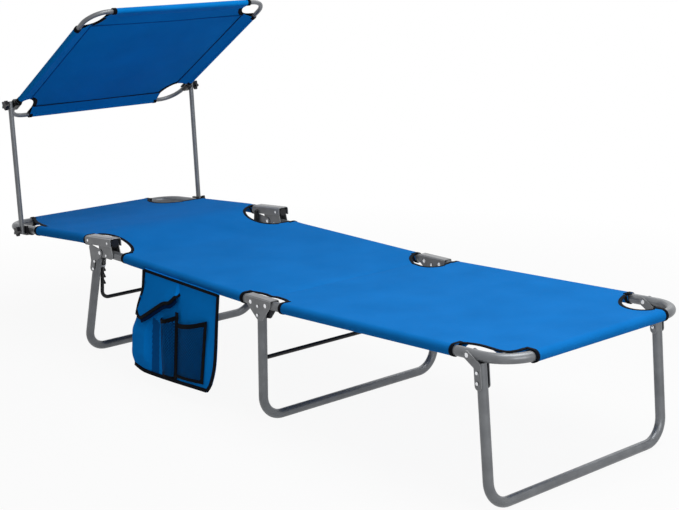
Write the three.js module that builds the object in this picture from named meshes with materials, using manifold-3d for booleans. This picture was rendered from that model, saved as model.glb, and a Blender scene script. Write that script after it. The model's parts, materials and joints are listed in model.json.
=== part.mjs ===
// Folding three-leg sun lounger with a canopy on two posts and a storage bag on one rail.
// Millimetres, +X towards the foot end, +Z up, -Y is the side that carries the bag.
// "Slope" is how much a rail climbs towards the foot end. "Lean" is how far a leg's top tips that way.
import * as THREE from 'three';
import { mergeVertices } from 'three/addons/utils/BufferGeometryUtils.js';
import Module from 'manifold-3d';

const wasm = await Module();
wasm.setup();
const rad = THREE.MathUtils.degToRad;

// Bed frame
const railSpacing = 560;
const tubeRadius = 11;
const tubeWall = 1.2;
const frameBendRadius = 76;
const legBendRadius = 54;
const headLength = 546;
const midLength = 590;
const footLength = 727;
const foldPinHeight = 290.5;
const headPinRise = 32;
const headSlope = rad(4.32);
const midSlope = rad(-0.59);
const footSlope = rad(2.474);
// Distance between the tube axes that lie on each other in the folded pack
const foldPitch = 26.5;

// Legs
const headLegLean = rad(15.07);
const midLegLean = rad(0.8);
const footLegLean = rad(-5.31);
const headLegPinReach = 39;
const footLegPinInset = 102;
const footLegPinDistance = footLength - footLegPinInset;

// Sheet metal, pins and clearances
const plateThickness = 2;
const fit = 0.3;
const pinRadius = 3;
const rivetHeadRadius = 5.2;
const rivetHeadHeight = 1.6;
const fabricThickness = 1.5;
const overrun = 5;

// Canopy
const postRadius = 6;
const postWall = 1;
const postSideGap = 7.4;
const postLength = 350.5;
const postLean = rad(-3.35);
const postEnd = 9;
const postClampInset = 123.5;
const postClampDistance = headLength - postClampInset;
const canopyWidth = 570;
const canopyTubeRadius = 6;
const canopyTubeWall = 1;
const canopyBendRadius = 55;
const canopyLowReach = 75.6;
const canopyHighReach = 482.5;
const canopyAngle = rad(33.63);

const railY = railSpacing / 2;
const canopyY = canopyWidth / 2;
// The posts stand clear of the bed's rails and of the canopy's side tubes
const widestSide = Math.max(railY + tubeRadius, canopyY + canopyTubeRadius);
const postOffset = widestSide + postSideGap + postRadius;
const roundSides = 16;
const smallSides = 8;
// A tube's bore needs fewer sides than its outside
const boreSides = 8;
const bendSteps = 5;
const curveSteps = 8;
// Radius of a flat-sided hole whose flats clear a round of the given radius
const clearOf = (radius, count = smallSides) => (radius + fit) / Math.cos(Math.PI / count);
const pinHole = clearOf(pinRadius);
const sides = { near: -1, far: 1 };

// Materials
const finish = (color, roughness, metalness) =>
  new THREE.MeshStandardMaterial({ color, roughness, metalness });
const greyPaint = finish(0x74777b, 0.38, 0.7);
const platePaint = finish(0x6a6d71, 0.42, 0.7);
const brightSteel = finish(0xd8dadd, 0.25, 1);
const blackSteel = finish(0x1c1d20, 0.45, 0.4);
const blackPlastic = finish(0x161719, 0.5, 0);
const blueFabric = finish(0x1a63b0, 0.85, 0);

// Solids from three.js geometry, for joins and cuts
function toSolid(geometry) {
  const bare = new THREE.BufferGeometry();
  bare.setAttribute('position', geometry.getAttribute('position'));
  bare.setIndex(geometry.getIndex());
  const merged = mergeVertices(bare);
  const triVerts = Uint32Array.from(merged.getIndex().array);
  const vertProperties = Float32Array.from(merged.getAttribute('position').array);
  return new wasm.Manifold(new wasm.Mesh({ numProp: 3, vertProperties, triVerts }));
}

function toGeometry(solid) {
  const result = solid.getMesh();
  const geometry = new THREE.BufferGeometry();
  geometry.setAttribute('position', new THREE.BufferAttribute(result.vertProperties, 3));
  geometry.setIndex(new THREE.BufferAttribute(result.triVerts, 1));
  geometry.computeVertexNormals();
  return geometry;
}

const join = (...parts) => parts.reduce((whole, part) => whole.add(part));
const cut = (body, ...tools) => tools.reduce((whole, tool) => whole.subtract(tool), body);

function addPiece(group, name, solid, material) {
  const mesh = new THREE.Mesh(toGeometry(solid), material);
  mesh.name = name;
  group.add(mesh);
}

// Outlines
function circlePoints(x, y, radius, count) {
  const step = (2 * Math.PI) / count;
  return Array.from({ length: count }, (_, i) =>
    new THREE.Vector2(x + radius * Math.cos(i * step), y + radius * Math.sin(i * step)));
}

function ringShape(outer, inner, count = roundSides, innerCount = count) {
  const shape = new THREE.Shape(circlePoints(0, 0, outer, count));
  shape.holes.push(new THREE.Path(circlePoints(0, 0, inner, innerCount)));
  return shape;
}

// Outline of a strap drawn tight round circles given as [x, y, radius]
function strapShape(circles, count = roundSides) {
  const points = circles.flatMap(([x, y, radius]) => circlePoints(x, y, radius, count));
  points.sort((p, q) => p.x - q.x || p.y - q.y);
  const half = (list) => {
    const chain = [];
    for (const p of list) {
      while (chain.length > 1 && turnsRight(chain.at(-2), chain.at(-1), p)) chain.pop();
      chain.push(p);
    }
    return chain.slice(0, -1);
  };
  return new THREE.Shape([...half(points), ...half(points.toReversed())]);
}

function turnsRight(a, b, c) {
  return (b.x - a.x) * (c.y - a.y) - (b.y - a.y) * (c.x - a.x) <= 0;
}

// Prisms of an outline: along Y from an XZ outline, along X from a YZ outline, along Z from an XY outline
function prismY(shape, low, high) {
  const geometry = new THREE.ExtrudeGeometry(shape, { depth: high - low, bevelEnabled: false });
  return toSolid(geometry.rotateX(Math.PI / 2).translate(0, high, 0));
}

function prismX(shape, low, high) {
  const geometry = new THREE.ExtrudeGeometry(shape, { depth: high - low, bevelEnabled: false });
  const turn = new THREE.Matrix4().set(0, 0, 1, 0, 1, 0, 0, 0, 0, 1, 0, 0, 0, 0, 0, 1);
  return toSolid(geometry.applyMatrix4(turn).translate(low, 0, 0));
}

function prismZ(shape, low, high) {
  const settings = { depth: high - low, bevelEnabled: false, curveSegments: curveSteps };
  return toSolid(new THREE.ExtrudeGeometry(shape, settings).translate(0, 0, low));
}

function rodY(x, z, radius, low, high, count = smallSides) {
  const rod = new THREE.CylinderGeometry(radius, radius, high - low, count);
  return toSolid(rod.translate(x, (low + high) / 2, z));
}

function box(low, high) {
  const size = high.map((v, i) => v - low[i]);
  const middle = high.map((v, i) => (v + low[i]) / 2);
  return toSolid(new THREE.BoxGeometry(...size).translate(...middle));
}

// A route of straight runs and round bends, with stations only where a tube's section changes direction
class BentRoute extends THREE.Curve {
  constructor(corners, radius) {
    super();
    const last = corners.length - 1;
    const heading = (i) => corners[i + 1].clone().sub(corners[i]).normalize();
    this.stations = [{ point: corners[0], tangent: heading(0) }];
    for (let i = 1; i < last; i += 1) this.addBend(corners[i], heading(i - 1), heading(i), radius);
    this.stations.push({ point: corners[last], tangent: heading(last - 1) });
  }

  addBend(corner, before, after, radius) {
    const turn = before.angleTo(after);
    const start = corner.clone().addScaledVector(before, -radius * Math.tan(turn / 2));
    const inward = after.clone().addScaledVector(before, -before.dot(after)).normalize();
    for (let step = 0; step <= bendSteps; step += 1) {
      const angle = (turn * step) / bendSteps;
      const point = start.clone().addScaledVector(before, radius * Math.sin(angle));
      point.addScaledVector(inward, radius * (1 - Math.cos(angle)));
      const tangent = before.clone().multiplyScalar(Math.cos(angle));
      tangent.addScaledVector(inward, Math.sin(angle));
      this.stations.push({ point, tangent });
    }
  }

  getSpacedPoints() {
    return this.stations.map((station) => station.point.clone());
  }

  getTangentAt(share, target = new THREE.Vector3()) {
    return target.copy(this.stations[Math.round(share * (this.stations.length - 1))].tangent);
  }
}

function sweep(shape, corners, radius) {
  const route = new BentRoute(corners.map((c) => new THREE.Vector3(...c)), radius);
  const settings = { steps: route.stations.length - 1, extrudePath: route, bevelEnabled: false };
  return toSolid(new THREE.ExtrudeGeometry(shape, settings));
}

// The bed's side view: pins and the frames that turn about them, as points in XZ
const along = (from, slope, dx, dz) => ({
  x: from.x + dx * Math.cos(slope) - dz * Math.sin(slope),
  z: from.z + dx * Math.sin(slope) + dz * Math.cos(slope),
});
const midFoldPin = { x: -foldPitch, z: foldPinHeight };
const footFoldPin = { x: foldPitch, z: foldPinHeight };
const midAt = (dx, dz) => along(midFoldPin, midSlope, dx, dz);
const footAt = (dx, dz) => along(footFoldPin, footSlope, dx, dz);
const headPin = midAt(-midLength, headPinRise);
const headAt = (dx, dz) => along(headPin, headSlope, dx, dz);
const headLegPin = midAt(-midLength - headLegPinReach, 0);
const footLegPin = footAt(footLegPinDistance, 0);

// A point of the side view as [x, z] in a frame whose top tips towards the foot end by a lean
function toFrame(origin, lean, point) {
  const dx = point.x - origin.x;
  const dz = point.z - origin.z;
  return [dx * Math.cos(lean) - dz * Math.sin(lean), dx * Math.sin(lean) + dz * Math.cos(lean)];
}

// Where a leg stands, from the pin it folds on and the offset of its axis from that pin
function legStand(pin, lean, offset) {
  const beside = along(pin, -lean, offset, 0);
  const reach = (beside.z - tubeRadius) / Math.cos(lean);
  return { x: beside.x - reach * Math.sin(lean), z: tubeRadius, pinX: -offset, pinZ: reach, lean };
}
const headLegStand = legStand(headLegPin, headLegLean, -foldPitch);
const midLegStand = legStand({ x: 0, z: foldPinHeight }, midLegLean, 0);
const footLegStand = legStand(footLegPin, footLegLean, foldPitch);

function sectionGroup(origin, slope) {
  const group = new THREE.Group();
  group.position.set(origin.x, 0, origin.z);
  group.rotation.y = -slope;
  return group;
}

function legGroup(stand) {
  const group = new THREE.Group();
  group.position.set(stand.x, 0, stand.z);
  group.rotation.y = stand.lean;
  return group;
}

// Lateral layers beside a rail's axis, all measured from that axis
const plateInner = tubeRadius + fit;
const plateOuter = plateInner + plateThickness;
const wideInner = plateOuter + fit;
const wideOuter = wideInner + plateThickness;

// A plate on one side of a rail: side is near or far, face is -1 for inboard and 1 for outboard
function besideRail(side, face, inner, outer) {
  const axis = sides[side] * railY;
  const ends = [axis + sides[side] * face * inner, axis + sides[side] * face * outer];
  return [Math.min(...ends), Math.max(...ends)];
}

function rivetHead(x, z, side, face, seat) {
  const out = sides[side] * face;
  const height = rivetHeadHeight + fit;
  const head = new THREE.CylinderGeometry(rivetHeadRadius / 2, rivetHeadRadius, height, smallSides);
  if (out < 0) head.rotateX(Math.PI);
  const y = sides[side] * railY + out * (seat - fit + height / 2);
  return toSolid(head.translate(x, y, z));
}

// A riveted pivot pin through both plates and the tube, with a domed head at each end
function pivotPin(side, x, z, seat) {
  const half = seat + fit;
  const tip = half + rivetHeadHeight;
  const profile = [[0, -tip], [rivetHeadRadius / 2, -tip], [rivetHeadRadius, -half], [pinRadius, -half],
    [pinRadius, half], [rivetHeadRadius, half], [rivetHeadRadius / 2, tip], [0, tip]];
  const points = profile.map((p) => new THREE.Vector2(...p));
  const pin = new THREE.LatheGeometry(points, smallSides);
  return toSolid(pin.translate(x, sides[side] * railY, z));
}

const acrossRail = (side, x, z, radius, half) =>
  rodY(x, z, radius, sides[side] * railY - half, sides[side] * railY + half);

// Straight and bent bed tubes
const tubeSection = () => ringShape(tubeRadius, tubeRadius - tubeWall, roundSides, boreSides);

const hoopCorners = (openEnd, closedEnd, halfWidth) =>
  [[openEnd, -halfWidth, 0], [closedEnd, -halfWidth, 0], [closedEnd, halfWidth, 0], [openEnd, halfWidth, 0]];

const uTube = (openEnd, closedEnd) =>
  sweep(tubeSection(), hoopCorners(openEnd, closedEnd, railY), frameBendRadius);

function legTube(top) {
  const corners = [[0, -railY, top], [0, -railY, 0], [0, railY, 0], [0, railY, top]];
  return sweep(tubeSection(), corners, legBendRadius);
}

// Leaves a tube's end half round about its pin, so that it swings under the saddle's roof
function roundTubeEnd(tube, direction) {
  const far = railSpacing;
  const low = direction > 0 ? 0 : -far;
  const beyond = box([low, -far, -far], [low + far, far, far]);
  const eye = rodY(0, 0, tubeRadius, -far, far, roundSides);
  return tube.subtract(beyond.subtract(eye));
}

// A folded sheet channel over a tube: its section in YZ, with rounded outer edges
const channelEdge = 3;
function channelSection(inner, outer, roof, skirt) {
  const top = roof + plateThickness;
  const shape = new THREE.Shape();
  shape.moveTo(-outer, -skirt);
  shape.lineTo(-inner, -skirt);
  shape.lineTo(-inner, roof);
  shape.lineTo(inner, roof);
  shape.lineTo(inner, -skirt);
  shape.lineTo(outer, -skirt);
  shape.lineTo(outer, top - channelEdge);
  shape.lineTo(outer - channelEdge, top);
  shape.lineTo(channelEdge - outer, top);
  shape.lineTo(-outer, top - channelEdge);
  return shape;
}

// Head section: bent frame, channels, end plugs and canopy clamps
const headTail = 12;
const channelHeadward = 105;
const channelTail = 16;
const channelSkirt = 9;
const channelRivetDistance = 93;
const plugCap = 2;
const plugDepth = 14;
const stayPinDistance = 82;
const stayPinDrop = 0.5;
const stayRadius = 4;

function headSection() {
  const group = sectionGroup(headPin, headSlope);
  let frame = uTube(headTail, -headLength);
  for (const side of Object.keys(sides)) {
    const pin = acrossRail(side, 0, 0, pinHole, tubeRadius + overrun);
    frame = cut(frame, pin, stayHole(side, tubeRadius));
  }
  addPiece(group, 'head_frame', frame, greyPaint);
  for (const side of Object.keys(sides)) {
    addPiece(group, `head_channel_${side}`, headChannel(side), platePaint);
    addPiece(group, `head_tube_plug_${side}`, tubePlug(side), blackPlastic);
    addPiece(group, `head_hinge_pin_${side}`, pivotPin(side, 0, 0, wideOuter), brightSteel);
    addPiece(group, `post_base_clamp_${side}`, baseClamp(side), blackPlastic);
  }
  return group;
}

// The stay's ear passes only the inboard wall, which stands off the rail's axis by a reach
function stayHole(side, reach) {
  const wall = sides[side] * (railY - reach);
  return rodY(-stayPinDistance, -stayPinDrop, clearOf(stayRadius), wall - overrun, wall + overrun);
}

function headChannel(side) {
  const section = channelSection(wideInner, wideOuter, tubeRadius + fit, channelSkirt);
  const shift = new THREE.Matrix4().makeTranslation(0, sides[side] * railY, 0).elements;
  const channel = prismX(section, -channelHeadward, channelTail).transform(shift);
  const pin = acrossRail(side, 0, 0, pinHole, wideOuter + overrun);
  const heads = [-1, 1].map((face) => rivetHead(-channelRivetDistance, 0, side, face, wideOuter));
  return join(cut(channel, pin, stayHole(side, wideOuter)), ...heads);
}

function tubePlug(side) {
  const spigot = tubeRadius - tubeWall - fit;
  const profile = [[0, fit], [tubeRadius, fit], [tubeRadius, fit + plugCap], [0, fit + plugCap]];
  const cap = new THREE.LatheGeometry(profile.map((p) => new THREE.Vector2(...p)), roundSides);
  const stem = new THREE.CylinderGeometry(spigot, spigot, plugDepth, smallSides);
  stem.translate(0, plugCap - plugDepth / 2, 0);
  const whole = join(toSolid(cap), toSolid(stem).subtract(plugPinRoom()));
  const turn = new THREE.Matrix4().makeRotationZ(-Math.PI / 2);
  return whole.transform(turn.setPosition(headTail, sides[side] * railY, 0).elements);
}

// The plug's stem is notched where the hinge pin crosses the tube
function plugPinRoom() {
  const room = pinHole + fit;
  const reach = tubeRadius;
  return box([-reach, -headTail - room, -room], [reach, room - headTail, room]);
}

// Clamps of the canopy posts: a collar round a tube with a flat pad outboard and a mouth inboard
const clampWidth = 26;
const clampWall = 4.2;
const clampSplit = 7;
const padHalfHeight = 13;
const boltRadius = 3;
const boltHole = clearOf(boltRadius);
const boltGrip = 4;

// The mouth runs from the inboard side as far as mouth.y, between mouth.low and mouth.high
function collar(axisY, side, tubeR, width, padHalf, mouth) {
  const outward = sides[side];
  const padFace = postOffset - postRadius - fit - axisY;
  const grip = clearOf(tubeR, roundSides);
  const ring = strapShape([[0, 0, grip + clampWall]]);
  const body = prismX(ring, -width / 2, width / 2);
  const pad = box([-width / 2, 0, -padHalf], [width / 2, padFace, padHalf]);
  const bore = prismX(strapShape([[0, 0, grip]]), -width, width);
  const inboard = -grip - clampWall - overrun;
  const opening = box([-width, inboard, mouth.low], [width, mouth.y, mouth.high]);
  const bolt = rodY(0, 0, boltHole, padFace - boltGrip - fit, padFace + overrun);
  const whole = cut(join(body, pad), bore, opening, bolt);
  const turn = new THREE.Matrix4().makeTranslation(0, outward * axisY, 0);
  if (outward < 0) turn.multiply(new THREE.Matrix4().makeRotationZ(Math.PI));
  return whole.transform(turn.elements);
}

// The lower clamp holds the rail from below and leaves its top bare
function baseClamp(side) {
  const mouth = { y: tubeRadius, low: -clampSplit / 2, high: tubeRadius + clampWall + overrun };
  const shift = new THREE.Matrix4().makeTranslation(-postClampDistance, 0, 0);
  const clamp = collar(railY, side, tubeRadius, clampWidth, padHalfHeight, mouth);
  return clamp.transform(shift.elements);
}

// Mid section: two straight rails, and the link plates that carry the head hinge and the head leg
const midRailTail = 7;
const linkEyeRadius = 9;
const linkFootRadius = 10;

function midSection() {
  const group = sectionGroup(midFoldPin, midSlope);
  const start = -midLength - headLegPinReach + midRailTail;
  for (const side of Object.keys(sides)) {
    const shift = new THREE.Matrix4().makeTranslation(0, sides[side] * railY, 0).elements;
    const rail = roundTubeEnd(prismX(tubeSection(), start, tubeRadius), 1).transform(shift);
    const pin = acrossRail(side, 0, 0, pinHole, tubeRadius + overrun);
    addPiece(group, `mid_rail_${side}`, cut(rail, pin), greyPaint);
    addPiece(group, `link_plate_outer_${side}`, linkPlate(side, 1), platePaint);
    addPiece(group, `link_plate_inner_${side}`, linkPlate(side, -1), platePaint);
  }
  return group;
}

function linkPlate(side, face) {
  const hinge = [-midLength, headPinRise];
  const legPin = [-midLength - headLegPinReach, 0];
  const heel = [hinge[0] + linkEyeRadius, 0];
  const [low, high] = besideRail(side, face, plateInner, plateOuter);
  const circles = [[...hinge, linkEyeRadius], [...legPin, linkFootRadius], [...heel, linkFootRadius]];
  const plate = prismY(strapShape(circles), low, high);
  const reach = wideOuter + overrun;
  const holes = [hinge, legPin].map(([x, z]) => acrossRail(side, x, z, pinHole, reach));
  return cut(plate, ...holes);
}

// Head leg: bent tube, plates with the stop lobe, and the studs that the stay's racks hook over
const headLegTop = 14;
const headLegRivets = [35, 57];
const lobeReach = 41;
const lobeRadius = 8;
const legEyeRadius = 10;
const legTailRadius = 8;
const catchRadius = 2.4;
const catchDrop = 56.4;
const catchReach = 14;

function headLeg() {
  const group = legGroup(headLegStand);
  const { pinX, pinZ } = headLegStand;
  addPiece(group, 'head_leg', legTube(pinZ - headLegTop), greyPaint);
  for (const side of Object.keys(sides)) {
    addPiece(group, `head_leg_plate_outer_${side}`, headLegPlate(side, 1), platePaint);
    addPiece(group, `head_leg_plate_inner_${side}`, headLegPlate(side, -1), platePaint);
    addPiece(group, `head_leg_pin_${side}`, pivotPin(side, pinX, pinZ, wideOuter), brightSteel);
    const [low, high] = besideRail(side, -1, plateInner, plateInner + catchReach);
    const stud = rodY(0, pinZ - catchDrop, catchRadius, low, high);
    addPiece(group, `stay_catch_${side}`, stud, brightSteel);
  }
  return group;
}

// The lobe's top lies just under the channel's skirt, where it stops the leg from splaying
function lobeCentre() {
  const stop = headAt(0, -channelSkirt - fit - lobeRadius);
  const climb = Math.tan(headSlope);
  const x = headLegPin.x - lobeReach;
  const point = { x, z: stop.z + (x - stop.x) * climb };
  return toFrame(headLegStand, headLegStand.lean, point);
}

function headLegPlate(side, face) {
  const { pinX, pinZ } = headLegStand;
  const [low, high] = besideRail(side, face, wideInner, wideOuter);
  // The inboard plate stops short of the stud, so it has one rivet
  const rivets = headLegRivets.slice(0, face > 0 ? 2 : 1).map((drop) => pinZ - drop);
  const neck = [0, rivets[0], legTailRadius];
  const eye = strapShape([[pinX, pinZ, legEyeRadius], [...lobeCentre(), lobeRadius], neck]);
  const tail = strapShape([neck, [0, rivets.at(-1), legTailRadius]]);
  const plate = join(prismY(eye, low, high), prismY(tail, low, high));
  const heads = rivets.map((z) => rivetHead(0, z, side, face, wideOuter));
  return join(cut(plate, acrossRail(side, pinX, pinZ, pinHole, wideOuter + overrun)), ...heads);
}

// Stay: a bent rod hung from the head channels, with a toothed rack in front of each arm
const stayDrop = 164.6;
const stayLean = rad(5.1);
const stayBendRadius = 20;
const stayEarBend = 7;
const stayEarEnter = 9;
const stayArmY = railY - wideOuter - rivetHeadHeight - 2 * fit - stayRadius;
const rackThickness = 4;
const rackDepth = 10.2;
const rackTop = 33;
const rackPitch = 17.8;
const notchCount = 3;
const notchRise = 1.5;
const toothTip = 3;
const stayPin = headAt(-stayPinDistance, -stayPinDrop);

function stay() {
  const group = new THREE.Group();
  group.position.set(stayPin.x, 0, stayPin.z);
  group.rotation.y = stayLean;
  const section = new THREE.Shape(circlePoints(0, 0, stayRadius, smallSides));
  const route = [[0, -stayArmY, -stayEarBend], [0, -stayArmY, -stayDrop],
    [0, stayArmY, -stayDrop], [0, stayArmY, -stayEarBend]];
  const ears = Object.values(sides).map((out) => stayEar(out, section));
  addPiece(group, 'stay_rod', join(sweep(section, route, stayBendRadius), ...ears), blackSteel);
  for (const side of Object.keys(sides)) {
    const reach = railY - stayArmY;
    const [low, high] = besideRail(side, -1, reach - rackThickness / 2, reach + rackThickness / 2);
    addPiece(group, `stay_rack_${side}`, prismY(rackShape(), low, high), blackPlastic);
  }
  return group;
}

// The arm's top turns outwards into the channel
function stayEar(out, section) {
  const earY = railY - wideInner + fit + stayEarEnter - stayRadius;
  const route = [[0, out * stayArmY, -stayEarBend - stayRadius], [0, out * stayArmY, 0], [0, out * earY, 0]];
  return sweep(section, route, stayEarBend);
}

// The rack's notches open towards the leg, and the stud lies in the uppermost one
function rackShape() {
  const { x, z, lean, pinZ } = headLegStand;
  const stud = toFrame(stayPin, stayLean, along({ x, z }, -lean, 0, pinZ - catchDrop));
  const back = stayRadius + fit;
  const front = back + rackDepth;
  const room = catchRadius + fit;
  const points = [[back, -rackTop], [front, -rackTop]];
  for (let i = 0; i < notchCount; i += 1) {
    const top = stud[1] + room - i * rackPitch;
    const tip = top + notchRise + toothTip - rackPitch;
    points.push([front, top + notchRise], [stud[0] - room, top]);
    points.push([stud[0] - room, top - 2 * room], [front, tip]);
  }
  const foot = points.at(-1)[1] - toothTip;
  points.push([front, foot], [back, foot]);
  return new THREE.Shape(points.map((p) => new THREE.Vector2(...p)));
}

// Mid leg with its two saddles: each saddle carries both rails' pins and the leg between them
const saddleHalf = 45;
// Room over the rails for the foot rail's climb under the roof
const saddleRoofGap = 1.2;
const saddleCheekReach = 36;
const saddleCheekRadius = 9;
const saddleCheekRise = 3;
// The cheek's lower end, as circles [x, z, radius]
const saddleApex = [[2, -28, 10], [12, -29, 8]];
const saddleRivetDrops = [6.5, 28.5];
const crossRodHeight = 147;
const crossRodRadius = 4;

function midLeg() {
  const group = legGroup(midLegStand);
  const top = midLegStand.pinZ + tubeRadius;
  let leg = legTube(top);
  const inner = railY - tubeRadius - fit;
  for (const side of Object.values(sides)) {
    const wall = side * (railY - tubeRadius);
    leg = leg.subtract(rodY(0, crossRodHeight, clearOf(crossRodRadius), wall - overrun, wall + overrun));
  }
  addPiece(group, 'mid_leg', leg, greyPaint);
  const rodReach = inner + tubeWall + fit;
  const rod = rodY(0, crossRodHeight, crossRodRadius, -rodReach, rodReach);
  addPiece(group, 'mid_leg_cross_rod', rod, blackSteel);
  return group;
}

function saddles() {
  const group = new THREE.Group();
  group.position.z = foldPinHeight;
  for (const side of Object.keys(sides)) {
    addPiece(group, `fold_saddle_${side}`, foldSaddle(side), platePaint);
    addPiece(group, `mid_fold_pin_${side}`, pivotPin(side, -foldPitch, 0, plateOuter), brightSteel);
    addPiece(group, `foot_fold_pin_${side}`, pivotPin(side, foldPitch, 0, plateOuter), brightSteel);
  }
  return group;
}

function foldSaddle(side) {
  const shift = new THREE.Matrix4().makeTranslation(0, sides[side] * railY, 0).elements;
  const section = channelSection(plateInner, plateOuter, tubeRadius + saddleRoofGap, 0);
  const roof = prismX(section, -saddleHalf, saddleHalf).transform(shift);
  const cheek = strapShape([[-saddleCheekReach, saddleCheekRise, saddleCheekRadius],
    [saddleCheekReach, saddleCheekRise, saddleCheekRadius], ...saddleApex]);
  const cheeks = [-1, 1].map((face) => prismY(cheek, ...besideRail(side, face, plateInner, plateOuter)));
  const holes = [-foldPitch, foldPitch].map((x) => acrossRail(side, x, 0, pinHole, plateOuter + overrun));
  const heads = saddleRivetDrops.flatMap((drop) =>
    [-1, 1].map((face) => rivetHead(0, -drop, side, face, plateOuter)));
  return join(cut(join(roof, ...cheeks), ...holes), ...heads);
}

// Foot section and its leg
const footLegRivets = [35, 59];
const footElbowDrop = 19;
const footEyeRadius = 9;

function footSection() {
  const group = sectionGroup(footFoldPin, footSlope);
  let frame = roundTubeEnd(uTube(-tubeRadius, footLength), -1);
  for (const side of Object.keys(sides)) {
    const pins = [0, footLegPinDistance].map((x) => acrossRail(side, x, 0, pinHole, tubeRadius + overrun));
    frame = cut(frame, ...pins);
  }
  addPiece(group, 'foot_frame', frame, greyPaint);
  return group;
}

function footLeg() {
  const group = legGroup(footLegStand);
  const { pinX, pinZ } = footLegStand;
  // The rail's underside falls across the leg's mouth, as seen from the leg
  const fall = Math.tan(-footLegLean - footSlope);
  const top = pinZ - (foldPitch + tubeRadius) * fall - tubeRadius - 2 * fit;
  addPiece(group, 'foot_leg', legTube(top), greyPaint);
  for (const side of Object.keys(sides)) {
    addPiece(group, `foot_leg_plate_outer_${side}`, footLegPlate(side, 1), platePaint);
    addPiece(group, `foot_leg_plate_inner_${side}`, footLegPlate(side, -1), platePaint);
    addPiece(group, `foot_leg_pin_${side}`, pivotPin(side, pinX, pinZ, plateOuter), brightSteel);
  }
  return group;
}

function footLegPlate(side, face) {
  const { pinX, pinZ } = footLegStand;
  const [low, high] = besideRail(side, face, plateInner, plateOuter);
  const rivets = footLegRivets.map((drop) => pinZ - drop);
  const elbow = [0, pinZ - footElbowDrop, footEyeRadius];
  const arm = strapShape([[pinX, pinZ, footEyeRadius], elbow]);
  const tail = strapShape([elbow, [0, rivets.at(-1), footEyeRadius]]);
  const plate = join(prismY(arm, low, high), prismY(tail, low, high));
  const heads = rivets.map((z) => rivetHead(0, z, side, face, plateOuter));
  return join(cut(plate, acrossRail(side, pinX, pinZ, pinHole, plateOuter + overrun)), ...heads);
}

// Seat fabric: a sheet over the rails with a sleeve round each of them, cut out at the hinges and corners
const lift = tubeRadius + fit;
const headSleeveInset = 171;
const midSleeveInset = 58;
const footSleeveInset = 142;
// Each side sleeve's two ends, measured from the section's pin
const headSleeve = [headLength - headSleeveInset, 110];
const midSleeve = [midLength - midSleeveInset, 32];
const footSleeve = [46, footLength - footSleeveInset];
const endSleeveHalf = railY - frameBendRadius - fit;
const hingeNotchDepth = 56;
const foldNotchDepth = 38;
const coverSplit = 39.5;
// A cubic curve with both of its pulls level goes this share of the way to them
const curvePeakShare = 0.75;
// The pulls of each corner cut-out's edge, as [distance from the frame's end, distance from the middle]
const headCorners = { near: [[108, 261], [44, 240]], far: [[216, 135], [146, 130]] };
const footCorners = { near: [[69, 258], [15, 237]], far: [[132, 220], [79, 198]] };

const sleeveBore = clearOf(tubeRadius, roundSides);
const sleeveSection = () => ringShape(sleeveBore + fabricThickness, sleeveBore);

const inWorld = (point) => [point.x, point.z];

// A band of cloth in side view, thickened upwards, right across the bed
function sheet(line) {
  const upper = line.map(([x, z]) => [x, z + fabricThickness]).reverse();
  const outline = new THREE.Shape([...line, ...upper].map((p) => new THREE.Vector2(...p)));
  return prismY(outline, -railY, railY);
}

function sleeveAlong(place, slope, from, to, side) {
  const ring = prismX(sleeveSection(), from, to);
  const turn = new THREE.Matrix4().makeRotationY(-slope);
  turn.setPosition(place.x, sides[side] * railY, place.z);
  return ring.transform(turn.elements);
}

function sleeveAcross(place, half) {
  const ring = new THREE.ExtrudeGeometry(sleeveSection(), { depth: 2 * half, bevelEnabled: false });
  return toSolid(ring.rotateX(Math.PI / 2).translate(place.x, half, place.z));
}

// A curved cut-out along the rail between two sleeves
function hingeNotch(from, to, depth, side) {
  const edge = railY + lift + overrun;
  const pull = railY - depth / curvePeakShare;
  const shape = new THREE.Shape();
  shape.moveTo(from, edge);
  shape.lineTo(from, railY - tubeRadius);
  shape.bezierCurveTo(from, pull, to, pull, to, railY - tubeRadius);
  shape.lineTo(to, edge);
  return sidedCutter(shape, side);
}

// A cut-out round a bent corner, from the side sleeve to the end sleeve
function cornerNotch(from, end, pulls, side) {
  const outward = Math.sign(end - from);
  const outer = end + outward * (lift + overrun);
  const edge = railY + lift + overrun;
  const [first, second] = pulls.map(([inset, y]) => [end - outward * inset, y]);
  const shape = new THREE.Shape();
  shape.moveTo(from, edge);
  shape.lineTo(from, railY - tubeRadius);
  shape.bezierCurveTo(...first, ...second, outer, endSleeveHalf);
  shape.lineTo(outer, edge);
  return sidedCutter(shape, side);
}

function sidedCutter(shape, side) {
  const cutter = prismZ(shape, 0, railSpacing);
  return sides[side] > 0 ? cutter : cutter.mirror([0, 1, 0]);
}

const bothSides = (make) => Object.keys(sides).map(make);

function seatCovers() {
  const group = new THREE.Group();
  const splitX = headPin.x - coverSplit;
  const slopeStart = headAt(-headSleeve[1], lift);
  const slopeEnd = midAt(-midSleeve[0], lift);
  const splitShare = (splitX - slopeStart.x) / (slopeEnd.x - slopeStart.x);
  const splitZ = THREE.MathUtils.lerp(slopeStart.z, slopeEnd.z, splitShare);
  const notches = bothSides((side) => hingeNotch(slopeStart.x, slopeEnd.x, hingeNotchDepth, side));
  const foldFrom = midAt(-midSleeve[1], 0).x;
  const foldTo = footAt(footSleeve[0], 0).x;
  const foldNotches = bothSides((side) => hingeNotch(foldFrom, foldTo, foldNotchDepth, side));
  const midNotches = [...notches, ...foldNotches];
  addPiece(group, 'head_cover', headCover(slopeStart, [splitX - fit, splitZ], notches), blueFabric);
  addPiece(group, 'mid_cover', midCover([splitX, splitZ], slopeEnd, midNotches), blueFabric);
  addPiece(group, 'fold_cover', foldCover(foldNotches), blueFabric);
  addPiece(group, 'foot_cover', footCover(foldNotches), blueFabric);
  return group;
}

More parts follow.
